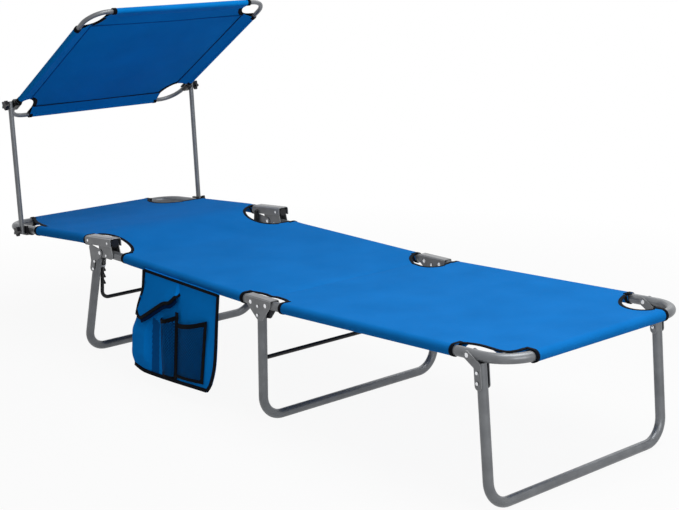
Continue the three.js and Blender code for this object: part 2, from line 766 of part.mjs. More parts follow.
function headCover(slopeStart, split, notches) {
  const end = headAt(-headLength, 0);
  const from = headAt(-headSleeve[0], 0).x;
  const cloth = sheet([inWorld(headAt(-headLength, lift)), inWorld(slopeStart), split]);
  const corners = bothSides((side) => cornerNotch(from, end.x, headCorners[side], side));
  const sleeves = bothSides((side) => sleeveAlong(headPin, headSlope, -headSleeve[0], -headSleeve[1], side));
  return join(cut(cloth, ...corners, ...notches), ...sleeves, sleeveAcross(end, endSleeveHalf));
}

function midCover(split, slopeEnd, notches) {
  const cloth = sheet([split, inWorld(slopeEnd), [midFoldPin.x - fit, foldPinHeight + lift]]);
  const sleeves = bothSides((side) => sleeveAlong(midFoldPin, midSlope, -midSleeve[0], -midSleeve[1], side));
  return join(cut(cloth, ...notches), ...sleeves);
}

function foldCover(notches) {
  const z = foldPinHeight + lift;
  return cut(sheet([[midFoldPin.x, z], [footFoldPin.x, z]]), ...notches);
}

function footCover(notches) {
  const end = footAt(footLength, 0);
  const from = footAt(footSleeve[1], 0).x;
  const cloth = sheet([[footFoldPin.x + fit, foldPinHeight + lift], inWorld(footAt(footLength, lift))]);
  const corners = bothSides((side) => cornerNotch(from, end.x, footCorners[side], side));
  const sleeves = bothSides((side) => sleeveAlong(footFoldPin, footSlope, ...footSleeve, side));
  return join(cut(cloth, ...corners, ...notches), ...sleeves, sleeveAcross(end, endSleeveHalf));
}

// Storage bag on the near mid rail: a back panel with an open pocket and an open net pocket
const bagWidth = 307;
const bagHeight = 256;
const bagFromFold = 113;
const bagTopDrop = 2;
const bagThickness = 2.5;
// Per unit of drop: towards the head end and outwards
const bagSlant = 0.14;
const bagFlare = 0.07;
const pocketDepth = 16;
const pocketWall = 1.6;
const pocketMargin = 8;
const pocketHeight = 130;
const netPocketHeight = 160;
const netPocketWidth = 160;
const pocketGap = 4;
const pocketTaper = 8;

function storageBag() {
  const group = new THREE.Group();
  const right = midAt(-bagFromFold, 0);
  const back = -(railY + lift + fabricThickness + fit);
  group.position.set(right.x, back, foldPinHeight - bagTopDrop);
  const panel = box([-bagWidth, -bagThickness, -bagHeight], [0, 0, 0]);
  const netLeft = -pocketMargin - netPocketWidth;
  const net = pocket(netLeft, -pocketMargin, netPocketHeight);
  const plain = pocket(-bagWidth + pocketMargin, netLeft - pocketGap, pocketHeight);
  const slant = new THREE.Matrix4().makeShear(0, 0, 0, 0, bagSlant, bagFlare);
  addPiece(group, 'storage_bag', join(panel, net, plain).transform(slant.elements), blueFabric);
  return group;
}

// An open-topped pocket in front of the panel, narrower at the bottom
function pocket(left, right, height) {
  const foot = pocketMargin - bagHeight;
  const profile = (inset, top) => {
    const points = [[0, foot + inset], [pocketTaper - pocketDepth + inset, foot + inset],
      [inset - pocketDepth, top], [0, top]];
    return new THREE.Shape(points.map((p) => new THREE.Vector2(...p)));
  };
  const front = new THREE.Matrix4().makeTranslation(0, -bagThickness, 0).elements;
  const outer = prismX(profile(0, foot + height), left, right);
  const inner = prismX(profile(pocketWall, foot + height + overrun), left + pocketWall, right - pocketWall);
  return outer.subtract(inner).transform(front);
}

// Canopy posts, frame hoops, clamps, cover and star knobs
function canopyPosts() {
  const group = new THREE.Group();
  const foot = headAt(-postClampDistance, 0);
  group.position.set(foot.x, 0, foot.z);
  group.rotation.y = postLean;
  for (const side of Object.keys(sides)) addPiece(group, `canopy_post_${side}`, canopyPost(side), greyPaint);
  return group;
}

function canopyPost(side) {
  const y = sides[side] * postOffset;
  const section = ringShape(postRadius, postRadius - postWall, canopySides, boreSides);
  const settings = { depth: postLength + 2 * postEnd, bevelEnabled: false };
  const tube = new THREE.ExtrudeGeometry(section, settings).translate(0, y, -postEnd);
  const reach = postRadius + overrun;
  const holes = [0, postLength].map((z) => rodY(0, z, boltHole, y - reach, y + reach));
  return cut(toSolid(tube), ...holes);
}

const postTop = () => along(headAt(-postClampDistance, 0), -postLean, 0, postLength);

function canopy() {
  const group = sectionGroup(postTop(), canopyAngle);
  const middle = (canopyHighReach - canopyLowReach) / 2;
  addPiece(group, 'canopy_hoop_lower', canopyHoop(middle - fit / 2, -canopyLowReach), greyPaint);
  addPiece(group, 'canopy_hoop_upper', canopyHoop(middle + fit / 2, canopyHighReach), greyPaint);
  for (const side of Object.keys(sides)) {
    addPiece(group, `post_top_clamp_${side}`, topClamp(side), blackPlastic);
  }
  addPiece(group, 'canopy_cover', canopyCover(), blueFabric);
  return group;
}

function canopyHoop(openEnd, closedEnd) {
  const section = ringShape(canopyTubeRadius, canopyTubeRadius - canopyTubeWall, canopySides, boreSides);
  return sweep(section, hoopCorners(openEnd, closedEnd, canopyY), canopyBendRadius);
}

const topClampWidth = 26;
const topPadHalfHeight = 10;

function topClamp(side) {
  const mouth = { y: 0, low: -clampSplit / 2, high: clampSplit / 2 };
  return collar(canopyY, side, canopyTubeRadius, topClampWidth, topPadHalfHeight, mouth);
}

const canopySides = 12;
const canopyLift = canopyTubeRadius + fit;
const canopySleeveBore = clearOf(canopyTubeRadius, canopySides);
const canopySleeveStart = 20;
const canopyTopInset = 87.5;
const canopyLowSleeveHalf = 208;
const canopyHighSleeveHalf = 217;

function canopyCover() {
  const ring = ringShape(canopySleeveBore + fabricThickness, canopySleeveBore, canopySides);
  const low = -canopyLowReach;
  const high = canopyHighReach;
  const sideTop = high - canopyTopInset;
  const cloth = box([low, -canopyY, canopyLift], [high, canopyY, canopyLift + fabricThickness]);
  const endSleeve = (x, half) => {
    const sleeve = new THREE.ExtrudeGeometry(ring, { depth: 2 * half, bevelEnabled: false });
    return toSolid(sleeve.rotateX(Math.PI / 2).translate(x, half, 0));
  };
  const sideSleeve = (side) => {
    const shift = new THREE.Matrix4().makeTranslation(0, sides[side] * canopyY, 0);
    return prismX(ring, canopySleeveStart, sideTop).transform(shift.elements);
  };
  const corners = bothSides((side) => join(canopyCorner(canopySleeveStart, low, canopyLowSleeveHalf, side),
    canopyCorner(sideTop, high, canopyHighSleeveHalf, side)));
  const ends = [endSleeve(low, canopyLowSleeveHalf), endSleeve(high, canopyHighSleeveHalf)];
  return join(cut(cloth, ...corners), ...ends, ...bothSides(sideSleeve));
}

// A nearly square cut-out whose inner corner is rounded
function canopyCorner(from, end, half, side) {
  const outer = end + Math.sign(end - from) * (canopyLift + overrun);
  const edge = canopyY + canopyLift + overrun;
  const shape = new THREE.Shape();
  shape.moveTo(from, edge);
  shape.lineTo(from, canopyY - canopyTubeRadius);
  shape.bezierCurveTo(from, half, from, half, outer, half);
  shape.lineTo(outer, edge);
  return sidedCutter(shape, side);
}

// Star knob with its screw: the screw passes the post and enters the clamp's pad
const knobRadius = 14;
const knobWave = 2.6;
const knobLobes = 5;
const knobThickness = 9;
const knobHubRadius = 7;
const knobHubHeight = 4;
const knobSteps = 6;

function starKnob(side, place) {
  const group = new THREE.Group();
  group.position.set(place.x, 0, place.z);
  const start = postOffset + postRadius + fit;
  const count = knobSteps * knobLobes;
  const points = Array.from({ length: count }, (_, i) => {
    const angle = (i * 2 * Math.PI) / count;
    const reach = knobRadius - knobWave + knobWave * Math.cos(knobLobes * angle);
    return new THREE.Vector2(reach * Math.cos(angle), reach * Math.sin(angle));
  });
  const star = prismY(new THREE.Shape(points), start + knobHubHeight, start + knobHubHeight + knobThickness);
  const hub = rodY(0, 0, knobHubRadius, start, start + knobHubHeight + fit, smallSides);
  const tip = postOffset - postRadius - fit - boltGrip;
  const screw = rodY(0, 0, boltRadius, tip, start + knobHubHeight);
  const whole = join(star, hub, screw);
  return { group, solid: sides[side] > 0 ? whole : whole.mirror([0, 1, 0]) };
}

function starKnobs() {
  const group = new THREE.Group();
  const places = { base: headAt(-postClampDistance, 0), top: postTop() };
  for (const [level, place] of Object.entries(places)) {
    for (const side of Object.keys(sides)) {
      const knob = starKnob(side, place);
      addPiece(knob.group, `star_knob_${level}_${side}`, knob.solid, blackPlastic);
      group.add(knob.group);
    }
  }
  return group;
}

// The whole lounger, with its origin on the ground at the middle of its outline
const lounger = new THREE.Group();
lounger.add(headSection(), midSection(), footSection(), headLeg(), midLeg(), saddles(), footLeg(), stay());
lounger.add(seatCovers(), storageBag(), canopyPosts(), canopy(), starKnobs());
lounger.updateMatrixWorld(true);
const outline = new THREE.Box3().setFromObject(lounger, true);
lounger.position.x = -(outline.min.x + outline.max.x) / 2;
lounger.position.y = -(outline.min.y + outline.max.y) / 2;
lounger.position.z = -outline.min.z;

export default lounger;
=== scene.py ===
"""Looks of the sun lounger: smooth tubes, a sewn seat cloth, the canopy cloth and the storage bag.

Metres, +X towards the foot end, +Z up, -Y is the side that carries the bag.
"""
import json
import math

import bpy
import bmesh
from mathutils import Matrix, Vector, noise


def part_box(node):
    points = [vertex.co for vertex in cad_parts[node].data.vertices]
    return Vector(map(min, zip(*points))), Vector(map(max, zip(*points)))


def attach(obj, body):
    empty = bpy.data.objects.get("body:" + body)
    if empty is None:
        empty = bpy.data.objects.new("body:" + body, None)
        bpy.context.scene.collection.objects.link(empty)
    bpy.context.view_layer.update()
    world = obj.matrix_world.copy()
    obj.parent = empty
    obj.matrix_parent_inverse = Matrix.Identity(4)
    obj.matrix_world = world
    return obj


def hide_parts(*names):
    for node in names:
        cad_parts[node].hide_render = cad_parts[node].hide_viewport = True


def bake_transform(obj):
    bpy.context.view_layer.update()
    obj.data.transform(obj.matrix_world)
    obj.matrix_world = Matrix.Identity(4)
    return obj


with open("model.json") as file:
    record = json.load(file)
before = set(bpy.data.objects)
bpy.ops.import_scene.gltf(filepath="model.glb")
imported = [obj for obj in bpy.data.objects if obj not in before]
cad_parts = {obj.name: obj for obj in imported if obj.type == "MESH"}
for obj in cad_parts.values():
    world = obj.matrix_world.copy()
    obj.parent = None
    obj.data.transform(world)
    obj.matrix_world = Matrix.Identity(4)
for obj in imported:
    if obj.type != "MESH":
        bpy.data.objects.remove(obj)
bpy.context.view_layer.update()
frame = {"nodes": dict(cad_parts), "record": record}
nodes = frame["nodes"]
SIDES = {"near": -1, "far": 1}
FOOTWARDS = Vector((1, 0, 0))
ACROSS = Vector((0, 1, 0))
UP = Vector((0, 0, 1))


def middle(node):
    low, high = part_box(node)
    return (low + high) / 2


# The frame's tube, the pins of the side view, and the sections that turn about them
RAIL_Y = 0.28
TUBE_R = 0.011
TUBE_WALL = 0.0012
PIN_HEAD = middle("head_hinge_pin_near")
PIN_HEAD_LEG = middle("head_leg_pin_near")
PIN_MID = middle("mid_fold_pin_near")
PIN_FOOT = middle("foot_fold_pin_near")
PIN_FOOT_LEG = middle("foot_leg_pin_near")
FOLD = middle("fold_saddle_near")
HEAD_SLOPE = math.radians(4.32)
MID_SLOPE = math.radians(-0.59)
FOOT_SLOPE = math.radians(2.474)
CANOPY_SLOPE = math.radians(33.63)
HEAD_LENGTH = 0.546
MID_LENGTH = 0.622
FOOT_LENGTH = 0.727


def along(pin, slope, dx, dz=0.0):
    """(x, z) of a point dx along and dz above a line that climbs by a slope from a pin."""
    x = pin.x + dx * math.cos(slope) - dz * math.sin(slope)
    z = pin.z + dx * math.sin(slope) + dz * math.cos(slope)
    return x, z


def clamp(value):
    return max(0.0, min(1.0, value))


def ease(low, high, value):
    share = clamp((value - low) / (high - low))
    return share * share * (3 - 2 * share)


def ripple(x, y, seed):
    return noise.noise(Vector((x, y, seed)))


def spread(low, high, step):
    count = max(1, round((high - low) / step))
    return [low + (high - low) * i / count for i in range(count + 1)]


def turns(angle, steps):
    return [angle * i / steps for i in range(steps + 1)]


def heading(points, i):
    """Direction of a line of points at its point i."""
    return (points[min(i + 1, len(points) - 1)] - points[max(i - 1, 0)]).normalized()


# Materials


def new_material(name):
    material = bpy.data.materials.new(name)
    material.use_nodes = True
    tree = material.node_tree
    return material, tree, tree.nodes["Principled BSDF"]


def dress(tree, node, inputs):
    """Sets a node's inputs, and links those whose value is a socket."""
    for key, value in inputs.items():
        if isinstance(value, bpy.types.NodeSocket):
            tree.links.new(value, node.inputs[key])
        else:
            node.inputs[key].default_value = value
    return node


def add(tree, kind, inputs, **settings):
    node = tree.nodes.new(kind)
    for key, value in settings.items():
        setattr(node, key, value)
    return dress(tree, node, inputs)


def coordinates(tree, kind):
    return tree.nodes.new("ShaderNodeTexCoord").outputs[kind]


def cloud(tree, scale, detail, kind="Object", roughness=0.5):
    inputs = {"Vector": coordinates(tree, kind), "Scale": scale, "Detail": detail, "Roughness": roughness}
    return add(tree, "ShaderNodeTexNoise", inputs).outputs["Fac"]


def maths(tree, operation, first, second):
    return add(tree, "ShaderNodeMath", {0: first, 1: second}, operation=operation).outputs[0]


def mix_colours(tree, kind, share, colour, other):
    inputs = {0: share, 6: colour, 7: other}
    return add(tree, "ShaderNodeMix", inputs, data_type="RGBA", blend_type=kind).outputs[2]


def remap(tree, value, source=(0.0, 1.0), target=(0.0, 1.0)):
    """Carries a value over from one range to another."""
    inputs = {"Value": value, "From Min": source[0], "From Max": source[1], "To Min": target[0],
              "To Max": target[1]}
    return add(tree, "ShaderNodeMapRange", inputs).outputs["Result"]


def ramp(tree, source, low, high, at=(0.35, 0.65)):
    node = add(tree, "ShaderNodeValToRGB", {"Fac": source})
    for stop, position, colour in zip(node.color_ramp.elements, at, (low, high)):
        stop.position = position
        stop.color = (*colour, 1)
    return node.outputs["Color"]


def bump(tree, height, strength, distance, under=None):
    inputs = {"Height": height, "Strength": strength, "Distance": distance}
    if under is not None:
        inputs["Normal"] = under
    return add(tree, "ShaderNodeBump", inputs).outputs["Normal"]


# Painted shade in the gaps between pieces, and a painted highlight along the outer edges
PAINTED_SHADE_REACH = 0.014
PAINTED_SHADE_TINT = (0.42, 0.42, 0.44)
EDGE_HIGHLIGHT_REACH = 0.0011


def painted_shade_and_edge_highlight(tree, colour, edge_highlight_and_wear):
    """Painted shade darkens the gaps between pieces, and a painted highlight, which also stands for wear,
    makes the outer edges paler.
    """
    for inside, reach, tint, kind in ((False, PAINTED_SHADE_REACH, PAINTED_SHADE_TINT, "MULTIPLY"),
                                      (True, EDGE_HIGHLIGHT_REACH, edge_highlight_and_wear, "MIX")):
        near = add(tree, "ShaderNodeAmbientOcclusion", {"Distance": reach}, samples=8, inside=inside)
        share = remap(tree, near.outputs["AO"], (0.35, 0.9), (1.0, 0.0))
        colour = mix_colours(tree, kind, share, colour, (*tint, 1))
    return colour


def painted(name, low, high, metallic, rough, grain=900.0, coat=0.0, level=0.5, edge_highlight_and_wear=None):
    """Sprayed or moulded surface with slight mottling and an orange-peel skin."""
    material, tree, shader = new_material(name)
    colour = ramp(tree, cloud(tree, scale=28.0, detail=4.0), low, high)
    # Optional painted shade in the gaps and painted highlight on the edges
    if edge_highlight_and_wear:
        colour = painted_shade_and_edge_highlight(tree, colour, edge_highlight_and_wear)
    blotches = cloud(tree, scale=60.0, detail=5.0)
    skin = cloud(tree, scale=grain, detail=2.0)
    dress(tree, shader, {
        "Base Color": colour,
        "Metallic": metallic,
        "Coat Weight": coat,
        "Coat Roughness": 0.25,
        "Specular IOR Level": level,
        "Roughness": remap(tree, blotches, target=(rough - 0.05, rough + 0.07)),
        "Normal": bump(tree, skin, strength=0.05, distance=0.0004),
    })
    return material


def weave(tree, scale):
    """Plain weave from two crossed wave textures over the cloth's own flat coordinates."""
    inputs = {"Vector": coordinates(tree, "UV"), "Scale": scale}
    waves = [add(tree, "ShaderNodeTexWave", inputs, bands_direction=direction) for direction in ("X", "Y")]
    return maths(tree, "MULTIPLY", *(wave.outputs["Fac"] for wave in waves))


def fabric(name, low, high, rough=0.8, thread=320.0, level=0.04):
    """Woven cloth: threads, slow colour drift and faint creases."""
    material, tree, shader = new_material(name)
    threads = weave(tree, thread)
    drift = cloud(tree, 7.0, 5.0, "UV")
    base = ramp(tree, drift, low, high, (0.3, 0.7))
    shade = ramp(tree, threads, (0.82, 0.82, 0.82), (1, 1, 1), (0.0, 0.6))
    creases = bump(tree, cloud(tree, 16.0, 6.0, "UV", 0.55), strength=0.25, distance=0.004)
    dress(tree, shader, {
        "Base Color": mix_colours(tree, "MULTIPLY", 0.5, base, shade),
        "Roughness": rough,
        "Specular IOR Level": level,
        "Normal": bump(tree, threads, strength=0.25, distance=0.0003, under=creases),
    })
    return material


NET_CELL = 0.005
NET_ANGLE = 38
# Length of one wave of a wave texture whose scale is 1
UNIT_WAVE = 0.314


def net_material(name):
    """Black diagonal mesh with open cells."""
    material, tree, shader = new_material(name)
    flat = coordinates(tree, "UV")
    lines = []
    for angle in (NET_ANGLE, -NET_ANGLE):
        turned = add(tree, "ShaderNodeMapping", {"Vector": flat, "Rotation": (0, 0, math.radians(angle))})
        wave = {"Vector": turned.outputs["Vector"], "Scale": UNIT_WAVE / NET_CELL}
        lines.append(add(tree, "ShaderNodeTexWave", wave).outputs["Fac"])
    either = maths(tree, "MAXIMUM", *lines)
    mottle = cloud(tree, scale=120.0, detail=3.0)
    dress(tree, shader, {
        "Base Color": ramp(tree, mottle, (0.0004, 0.006, 0.028), (0.0008, 0.010, 0.045)),
        "Alpha": remap(tree, either, source=(0.72, 0.90)),
        "Roughness": 0.6,
        "Specular IOR Level": 0.03,
        "Normal": bump(tree, either, strength=0.5, distance=0.0008),
    })
    return material


grey = painted("grey_frame", (0.145, 0.152, 0.162), (0.18, 0.188, 0.198), 0.45, 0.34, coat=0.05, level=0.28)
# The plates get painted shade in their gaps and a painted highlight, which also stands for wear, on their
# edges
plate = painted("grey_plate", (0.14, 0.145, 0.153), (0.175, 0.181, 0.19), 0.3, 0.32, coat=0.1,
                edge_highlight_and_wear=(0.36, 0.37, 0.38))
steel = painted("rivet_steel", (0.62, 0.63, 0.65), (0.75, 0.76, 0.78), 1.0, 0.22)
rod_black = painted("black_rod", (0.006, 0.006, 0.007), (0.012, 0.012, 0.014), 0.0, 0.42, level=0.25)
plastic = painted("black_plastic", (0.003, 0.003, 0.004), (0.007, 0.007, 0.009), 0.0, 0.3, 700.0, level=0.3)
BAG_THREAD = 260.0
blue = fabric("blue_fabric", (0.0025, 0.145, 0.46), (0.005, 0.17, 0.53))
canopy_blue = fabric("canopy_fabric", (0.0008, 0.17, 0.52), (0.0015, 0.20, 0.60))
# The bag's blue is the seat's fabric painted brighter: painted light for its side face, which the lamps
# light less
bag_lit_blue = fabric("bag_fabric", (0.0004, 0.205, 0.68), (0.0008, 0.24, 0.78), thread=BAG_THREAD)
# A darker copy of the bag's blue, painted shade for the pleat's recess
pleat_shade_blue = fabric("bag_pleat_painted_shade", (0.0005, 0.085, 0.31), (0.001, 0.105, 0.37), thread=BAG_THREAD)
# Dark navy for the strip of painted shadow under the flap's edge
flap_shadow_fabric = fabric("bag_flap_painted_shadow", (0.0004, 0.010, 0.05), (0.0008, 0.018, 0.08), thread=BAG_THREAD, level=0.03)
seam_blue = fabric("seam_thread", (0.001, 0.085, 0.30), (0.002, 0.10, 0.35), thread=500.0)
webbing = fabric("black_webbing", (0.0022, 0.0026, 0.004), (0.005, 0.006, 0.009), rough=0.75, thread=480.0)
netting = net_material("black_net")

# Mesh making


def make(name, verts, faces, materials, uvs=None, slots=None):
    mesh = bpy.data.meshes.new(name)
    mesh.from_pydata([tuple(v) for v in verts], [], faces)
    if uvs:
        layer = mesh.uv_layers.new(name="flat")
        for loop in mesh.loops:
            layer.data[loop.index].uv = uvs[loop.vertex_index]
    for material in materials:
        mesh.materials.append(material)
    if slots:
        for face, slot in zip(mesh.polygons, slots):
            face.material_index = slot
    obj = bpy.data.objects.new(name, mesh)
    bpy.context.scene.collection.objects.link(obj)
    tidy_normals(obj)
    return obj


def tidy_normals(obj, angle=38):
    """Turns all faces outwards and shades them smooth, with sharp edges past an angle."""
    work = bmesh.new()
    work.from_mesh(obj.data)
    bmesh.ops.recalc_face_normals(work, faces=work.faces)
    work.to_mesh(obj.data)
    work.free()
    for face in obj.data.polygons:
        face.use_smooth = True
    obj.data.set_sharp_from_angle(angle=math.radians(angle))


def ring_faces(rings, size, caps=(0, -1), closed=False):
    """Faces between rings of size vertices each, and caps over the rings that caps names."""
    faces = []
    for ring in range(rings if closed else rings - 1):
        here, after = ring * size, (ring + 1) % rings * size
        for i in range(size):
            j = (i + 1) % size
            faces.append([here + i, here + j, after + j, after + i])
    for ring in caps:
        start = ring % rings * size
        faces.append(list(range(start, start + size)))
    return faces


CUT_DEPTH = 0.5


def modify(obj, kind, **settings):
    """Adds a modifier and applies it."""
    modifier = obj.modifiers.new(kind, kind)
    for key, value in settings.items():
        setattr(modifier, key, value)
    bpy.context.view_layer.update()
    graph = bpy.context.evaluated_depsgraph_get()
    mesh = bpy.data.meshes.new_from_object(obj.evaluated_get(graph))
    obj.modifiers.clear()
    obj.data = mesh


def carve(obj, outlines, matrix=None):
    """Cuts away tall prisms that stand on outlines in XY."""
    verts, faces = [], []
    for outline in outlines:
        faces += [[len(verts) + i for i in face] for face in ring_faces(2, len(outline))]
        verts += [(x, y, z) for z in (-CUT_DEPTH, CUT_DEPTH) for x, y in outline]
    cutter = make("cutter", verts, faces, [])
    if matrix:
        cutter.matrix_world = matrix
    modify(obj, "BOOLEAN", object=cutter, operation="DIFFERENCE", solver="MANIFOLD")
    bpy.data.objects.remove(cutter)
    tidy_normals(obj)


def join(name, objects):
    """One object from several, with their materials kept."""
    first = objects[0]
    with bpy.context.temp_override(active_object=first, selected_editable_objects=objects,
                                   selected_objects=objects):
        bpy.ops.object.join()
    first.name = name
    return first


def bent_route(corners, radius, steps=14):
    """Corner points with the inner ones rounded, as (point, tangent)."""
    corners = [Vector(c) for c in corners]
    heads = [(b - a).normalized() for a, b in zip(corners, corners[1:])]
    route = [(corners[0], heads[0])]
    for corner, before, after in zip(corners[1:], heads, heads[1:]):
        bend = before.angle(after)
        start = corner - before * radius * math.tan(bend / 2)
        inward = (after - before * before.dot(after)).normalized()
        for angle in turns(bend, steps):
            point = start + before * radius * math.sin(angle) + inward * radius * (1 - math.cos(angle))
            route.append((point, before * math.cos(angle) + inward * math.sin(angle)))
    route.append((corners[-1], heads[-1]))
    return route


# How far a tube is open at its ends
MOUTH_DEPTH = 0.012


def tube(name, corners, radius, material, bend=0.0, across=UP, wall=TUBE_WALL, sides=32, place=None):
    """A round tube along a flat route. across is a direction square to the route's plane."""
    route = bent_route(corners, bend)
    first, last = route[0], route[-1]
    rings = [(first[0] + first[1] * MOUTH_DEPTH, first[1], radius - wall), (*first, radius - wall)]
    rings += [(point, tangent, radius) for point, tangent in route]
    rings += [(*last, radius - wall), (last[0] - last[1] * MOUTH_DEPTH, last[1], radius - wall)]
    verts, uvs = [], []
    for point, tangent, size in rings:
        beside = tangent.cross(across).normalized()
        for i, a in enumerate(turns(2 * math.pi, sides)[:-1]):
            verts.append(point + (across * math.cos(a) + beside * math.sin(a)) * size)
            uvs.append((i / sides, len(verts) / sides * 0.01))
    obj = make(name, verts, ring_faces(len(rings), sides), [material], uvs)
    if place:
        obj.data.transform(place)
    return obj


def section_place(pin, slope):
    return Matrix.Translation((pin.x, 0, pin.z)) @ Matrix.Rotation(-slope, 4, "Y")


def leg_place(pin, lean, offset):
    """Frame of a leg whose axis lies beside its pin, with its lower bar's axis at the origin."""
    x = pin.x + offset * math.cos(lean)
    z = pin.z - offset * math.sin(lean)
    reach = (z - TUBE_R) / math.cos(lean)
    foot = Vector((x - reach * math.sin(lean), 0, TUBE_R))
    return Matrix.Translation(foot) @ Matrix.Rotation(lean, 4, "Y"), reach


def hoop(start, end, half):
    return [(start, -half, 0), (end, -half, 0), (end, half, 0), (start, half, 0)]


def sweep_section(name, path, section, material):
    """path is (point, beside, up) for each station, and section is (beside, up) of a closed loop."""
    verts, uvs = [], []
    run = 0.0
    for index, (point, beside, up) in enumerate(path):
        if index:
            run += (point - path[index - 1][0]).length
        for a, b in section:
            verts.append(point + beside * a + up * b)
            uvs.append((run, a * 0.9 + b * 0.4))
    return make(name, verts, ring_faces(len(path), len(section)), [material], uvs)


def settle(obj, body, slot, *replaced):
    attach(obj, body)
    if replaced:
        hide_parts(*replaced)
    return obj


# Frame tubes
HEAD_BEND = 0.060
FOOT_BEND = 0.076
HEAD_TUBE_START = 0.012
head_place = section_place(PIN_HEAD, HEAD_SLOPE)
foot_place = section_place(PIN_FOOT, FOOT_SLOPE)
mid_place = section_place(PIN_MID, MID_SLOPE)
for name, start, end, bend, place in (("head", HEAD_TUBE_START, -HEAD_LENGTH, HEAD_BEND, head_place),
                                      ("foot", 0.0, FOOT_LENGTH, FOOT_BEND, foot_place)):
    settle(tube(f"{name}_tube", hoop(start, end, RAIL_Y), TUBE_R, grey, bend, place=place),
           f"{name}_section", "grey_frame", f"{name}_frame")
for side, sign in SIDES.items():
    ends = [(-MID_LENGTH, sign * RAIL_Y, 0), (0, sign * RAIL_Y, 0)]
    settle(tube(f"mid_tube_{side}", ends, TUBE_R, grey, place=mid_place),
           "mid_section", "grey_frame", f"mid_rail_{side}")

# Each leg's pin, its lean in degrees, and how far its axis is beside the pin and its ends above it
LEG_OFFSET = 0.0265
LEGS = {
    "head_leg": (PIN_HEAD_LEG, 15.07, -LEG_OFFSET, -0.014),
    "mid_leg": (Vector((FOLD.x, 0, PIN_MID.z)), 0.8, 0.0, 0.008),
    "foot_leg": (PIN_FOOT_LEG, -5.31, LEG_OFFSET, -0.0135),
}
LEG_BEND = 0.054
for leg, (pin, lean, offset, rise) in LEGS.items():
    place, reach = leg_place(pin, math.radians(lean), offset)
    top = reach + rise
    corners = [(0, -RAIL_Y, top), (0, -RAIL_Y, 0), (0, RAIL_Y, 0), (0, RAIL_Y, top)]
    settle(tube(f"{leg}_tube", corners, TUBE_R, grey, LEG_BEND, FOOTWARDS, place=place),
           leg, "grey_frame", leg)

ROD_SIDES = 20
CROSS_ROD_R = 0.005
rod = middle("mid_leg_cross_rod")
rod_ends = [(rod.x, end.y, rod.z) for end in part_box("mid_leg_cross_rod")]
settle(tube("mid_cross_bar", rod_ends, CROSS_ROD_R, rod_black, sides=ROD_SIDES),
       "mid_leg", "black_rod", "mid_leg_cross_rod")

# Canopy frame and its posts, in places that start from the top clamps
CANOPY_R = 0.006
CANOPY_Y = 0.285
CANOPY_BEND = 0.055
CANOPY_SIDES = 24
THIN_WALL = 0.001
LOW_REACH = 0.0756
HIGH_REACH = 0.4825
HOOP_GAP = 0.0002
POST_R = 0.0068
POST_Y = 0.3044
POST_DROP = 0.3595
POST_RISE = 0.009
POST_LEAN = math.radians(3.35)
TOP = middle("post_top_clamp_near")
canopy_place = section_place(TOP, CANOPY_SLOPE)
post_place = section_place(TOP, POST_LEAN)
hoop_mid = (HIGH_REACH - LOW_REACH) / 2
for name, start, end in (("lower", hoop_mid - HOOP_GAP / 2, -LOW_REACH),
                         ("upper", hoop_mid + HOOP_GAP / 2, HIGH_REACH)):
    half_hoop = tube(f"canopy_tube_{name}", hoop(start, end, CANOPY_Y), CANOPY_R, grey, CANOPY_BEND, UP,
                     THIN_WALL, CANOPY_SIDES, canopy_place)
    settle(half_hoop, "canopy", "grey_frame", f"canopy_hoop_{name}")
for side, sign in SIDES.items():
    ends = [(0, sign * POST_Y, -POST_DROP), (0, sign * POST_Y, POST_RISE)]
    post = tube(f"post_tube_{side}", ends, POST_R, grey, 0.0, FOOTWARDS, THIN_WALL, CANOPY_SIDES, post_place)
    settle(post, "canopy_posts", "grey_frame", f"canopy_post_{side}")

# Stay rod: a bar below, and an ear that turns outwards at the top of each arm
STAY_R = 0.0049
STAY_BEND = 0.02
STAY_LEAN = math.radians(5.1)
STAY_CORE = 0.0001
STAY_BACK = 0.082
STAY_DROP = 0.0005
ARM_Y = 0.2582
ARM_TOP = -0.001
ARM_LOW = -0.1646
EAR_R = 0.004
EAR_BEND = 0.0069
EAR_LOW = -0.008
ear_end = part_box("stay_rod")[1].y
stay_x, stay_z = along(PIN_HEAD, HEAD_SLOPE, -STAY_BACK, -STAY_DROP)
stay_place = Matrix.Translation((stay_x, 0, stay_z)) @ Matrix.Rotation(STAY_LEAN, 4, "Y")
arms = [(0, -ARM_Y, ARM_TOP), (0, -ARM_Y, ARM_LOW), (0, ARM_Y, ARM_LOW), (0, ARM_Y, ARM_TOP)]
ears = [[(0, sign * ARM_Y, EAR_LOW), (0, sign * ARM_Y, 0), (0, sign * ear_end, 0)]
        for sign in SIDES.values()]
bars = [(arms, STAY_R, STAY_BEND), *((ear, EAR_R, EAR_BEND) for ear in ears)]
stay = join("stay_bar", [tube("stay_bar", corners, radius, rod_black, bend, FOOTWARDS, radius - STAY_CORE,
                              ROD_SIDES) for corners, radius, bend in bars])
stay.data.transform(stay_place)
settle(stay, "stay", "black_rod", "stay_rod")

# Every node gets its slot's finish: plates, pins, clamps and knobs are seen with it
FINISH = {"grey_plate": plate, "grey_frame": grey, "rivet_steel": steel, "black_rod": rod_black,
          "black_plastic": plastic, "blue_fabric": blue}
for part in frame["record"]["subparts"]:
    node = nodes[part["node"]]
    node.data.materials.clear()
    node.data.materials.append(FINISH[part["material_slot"]])

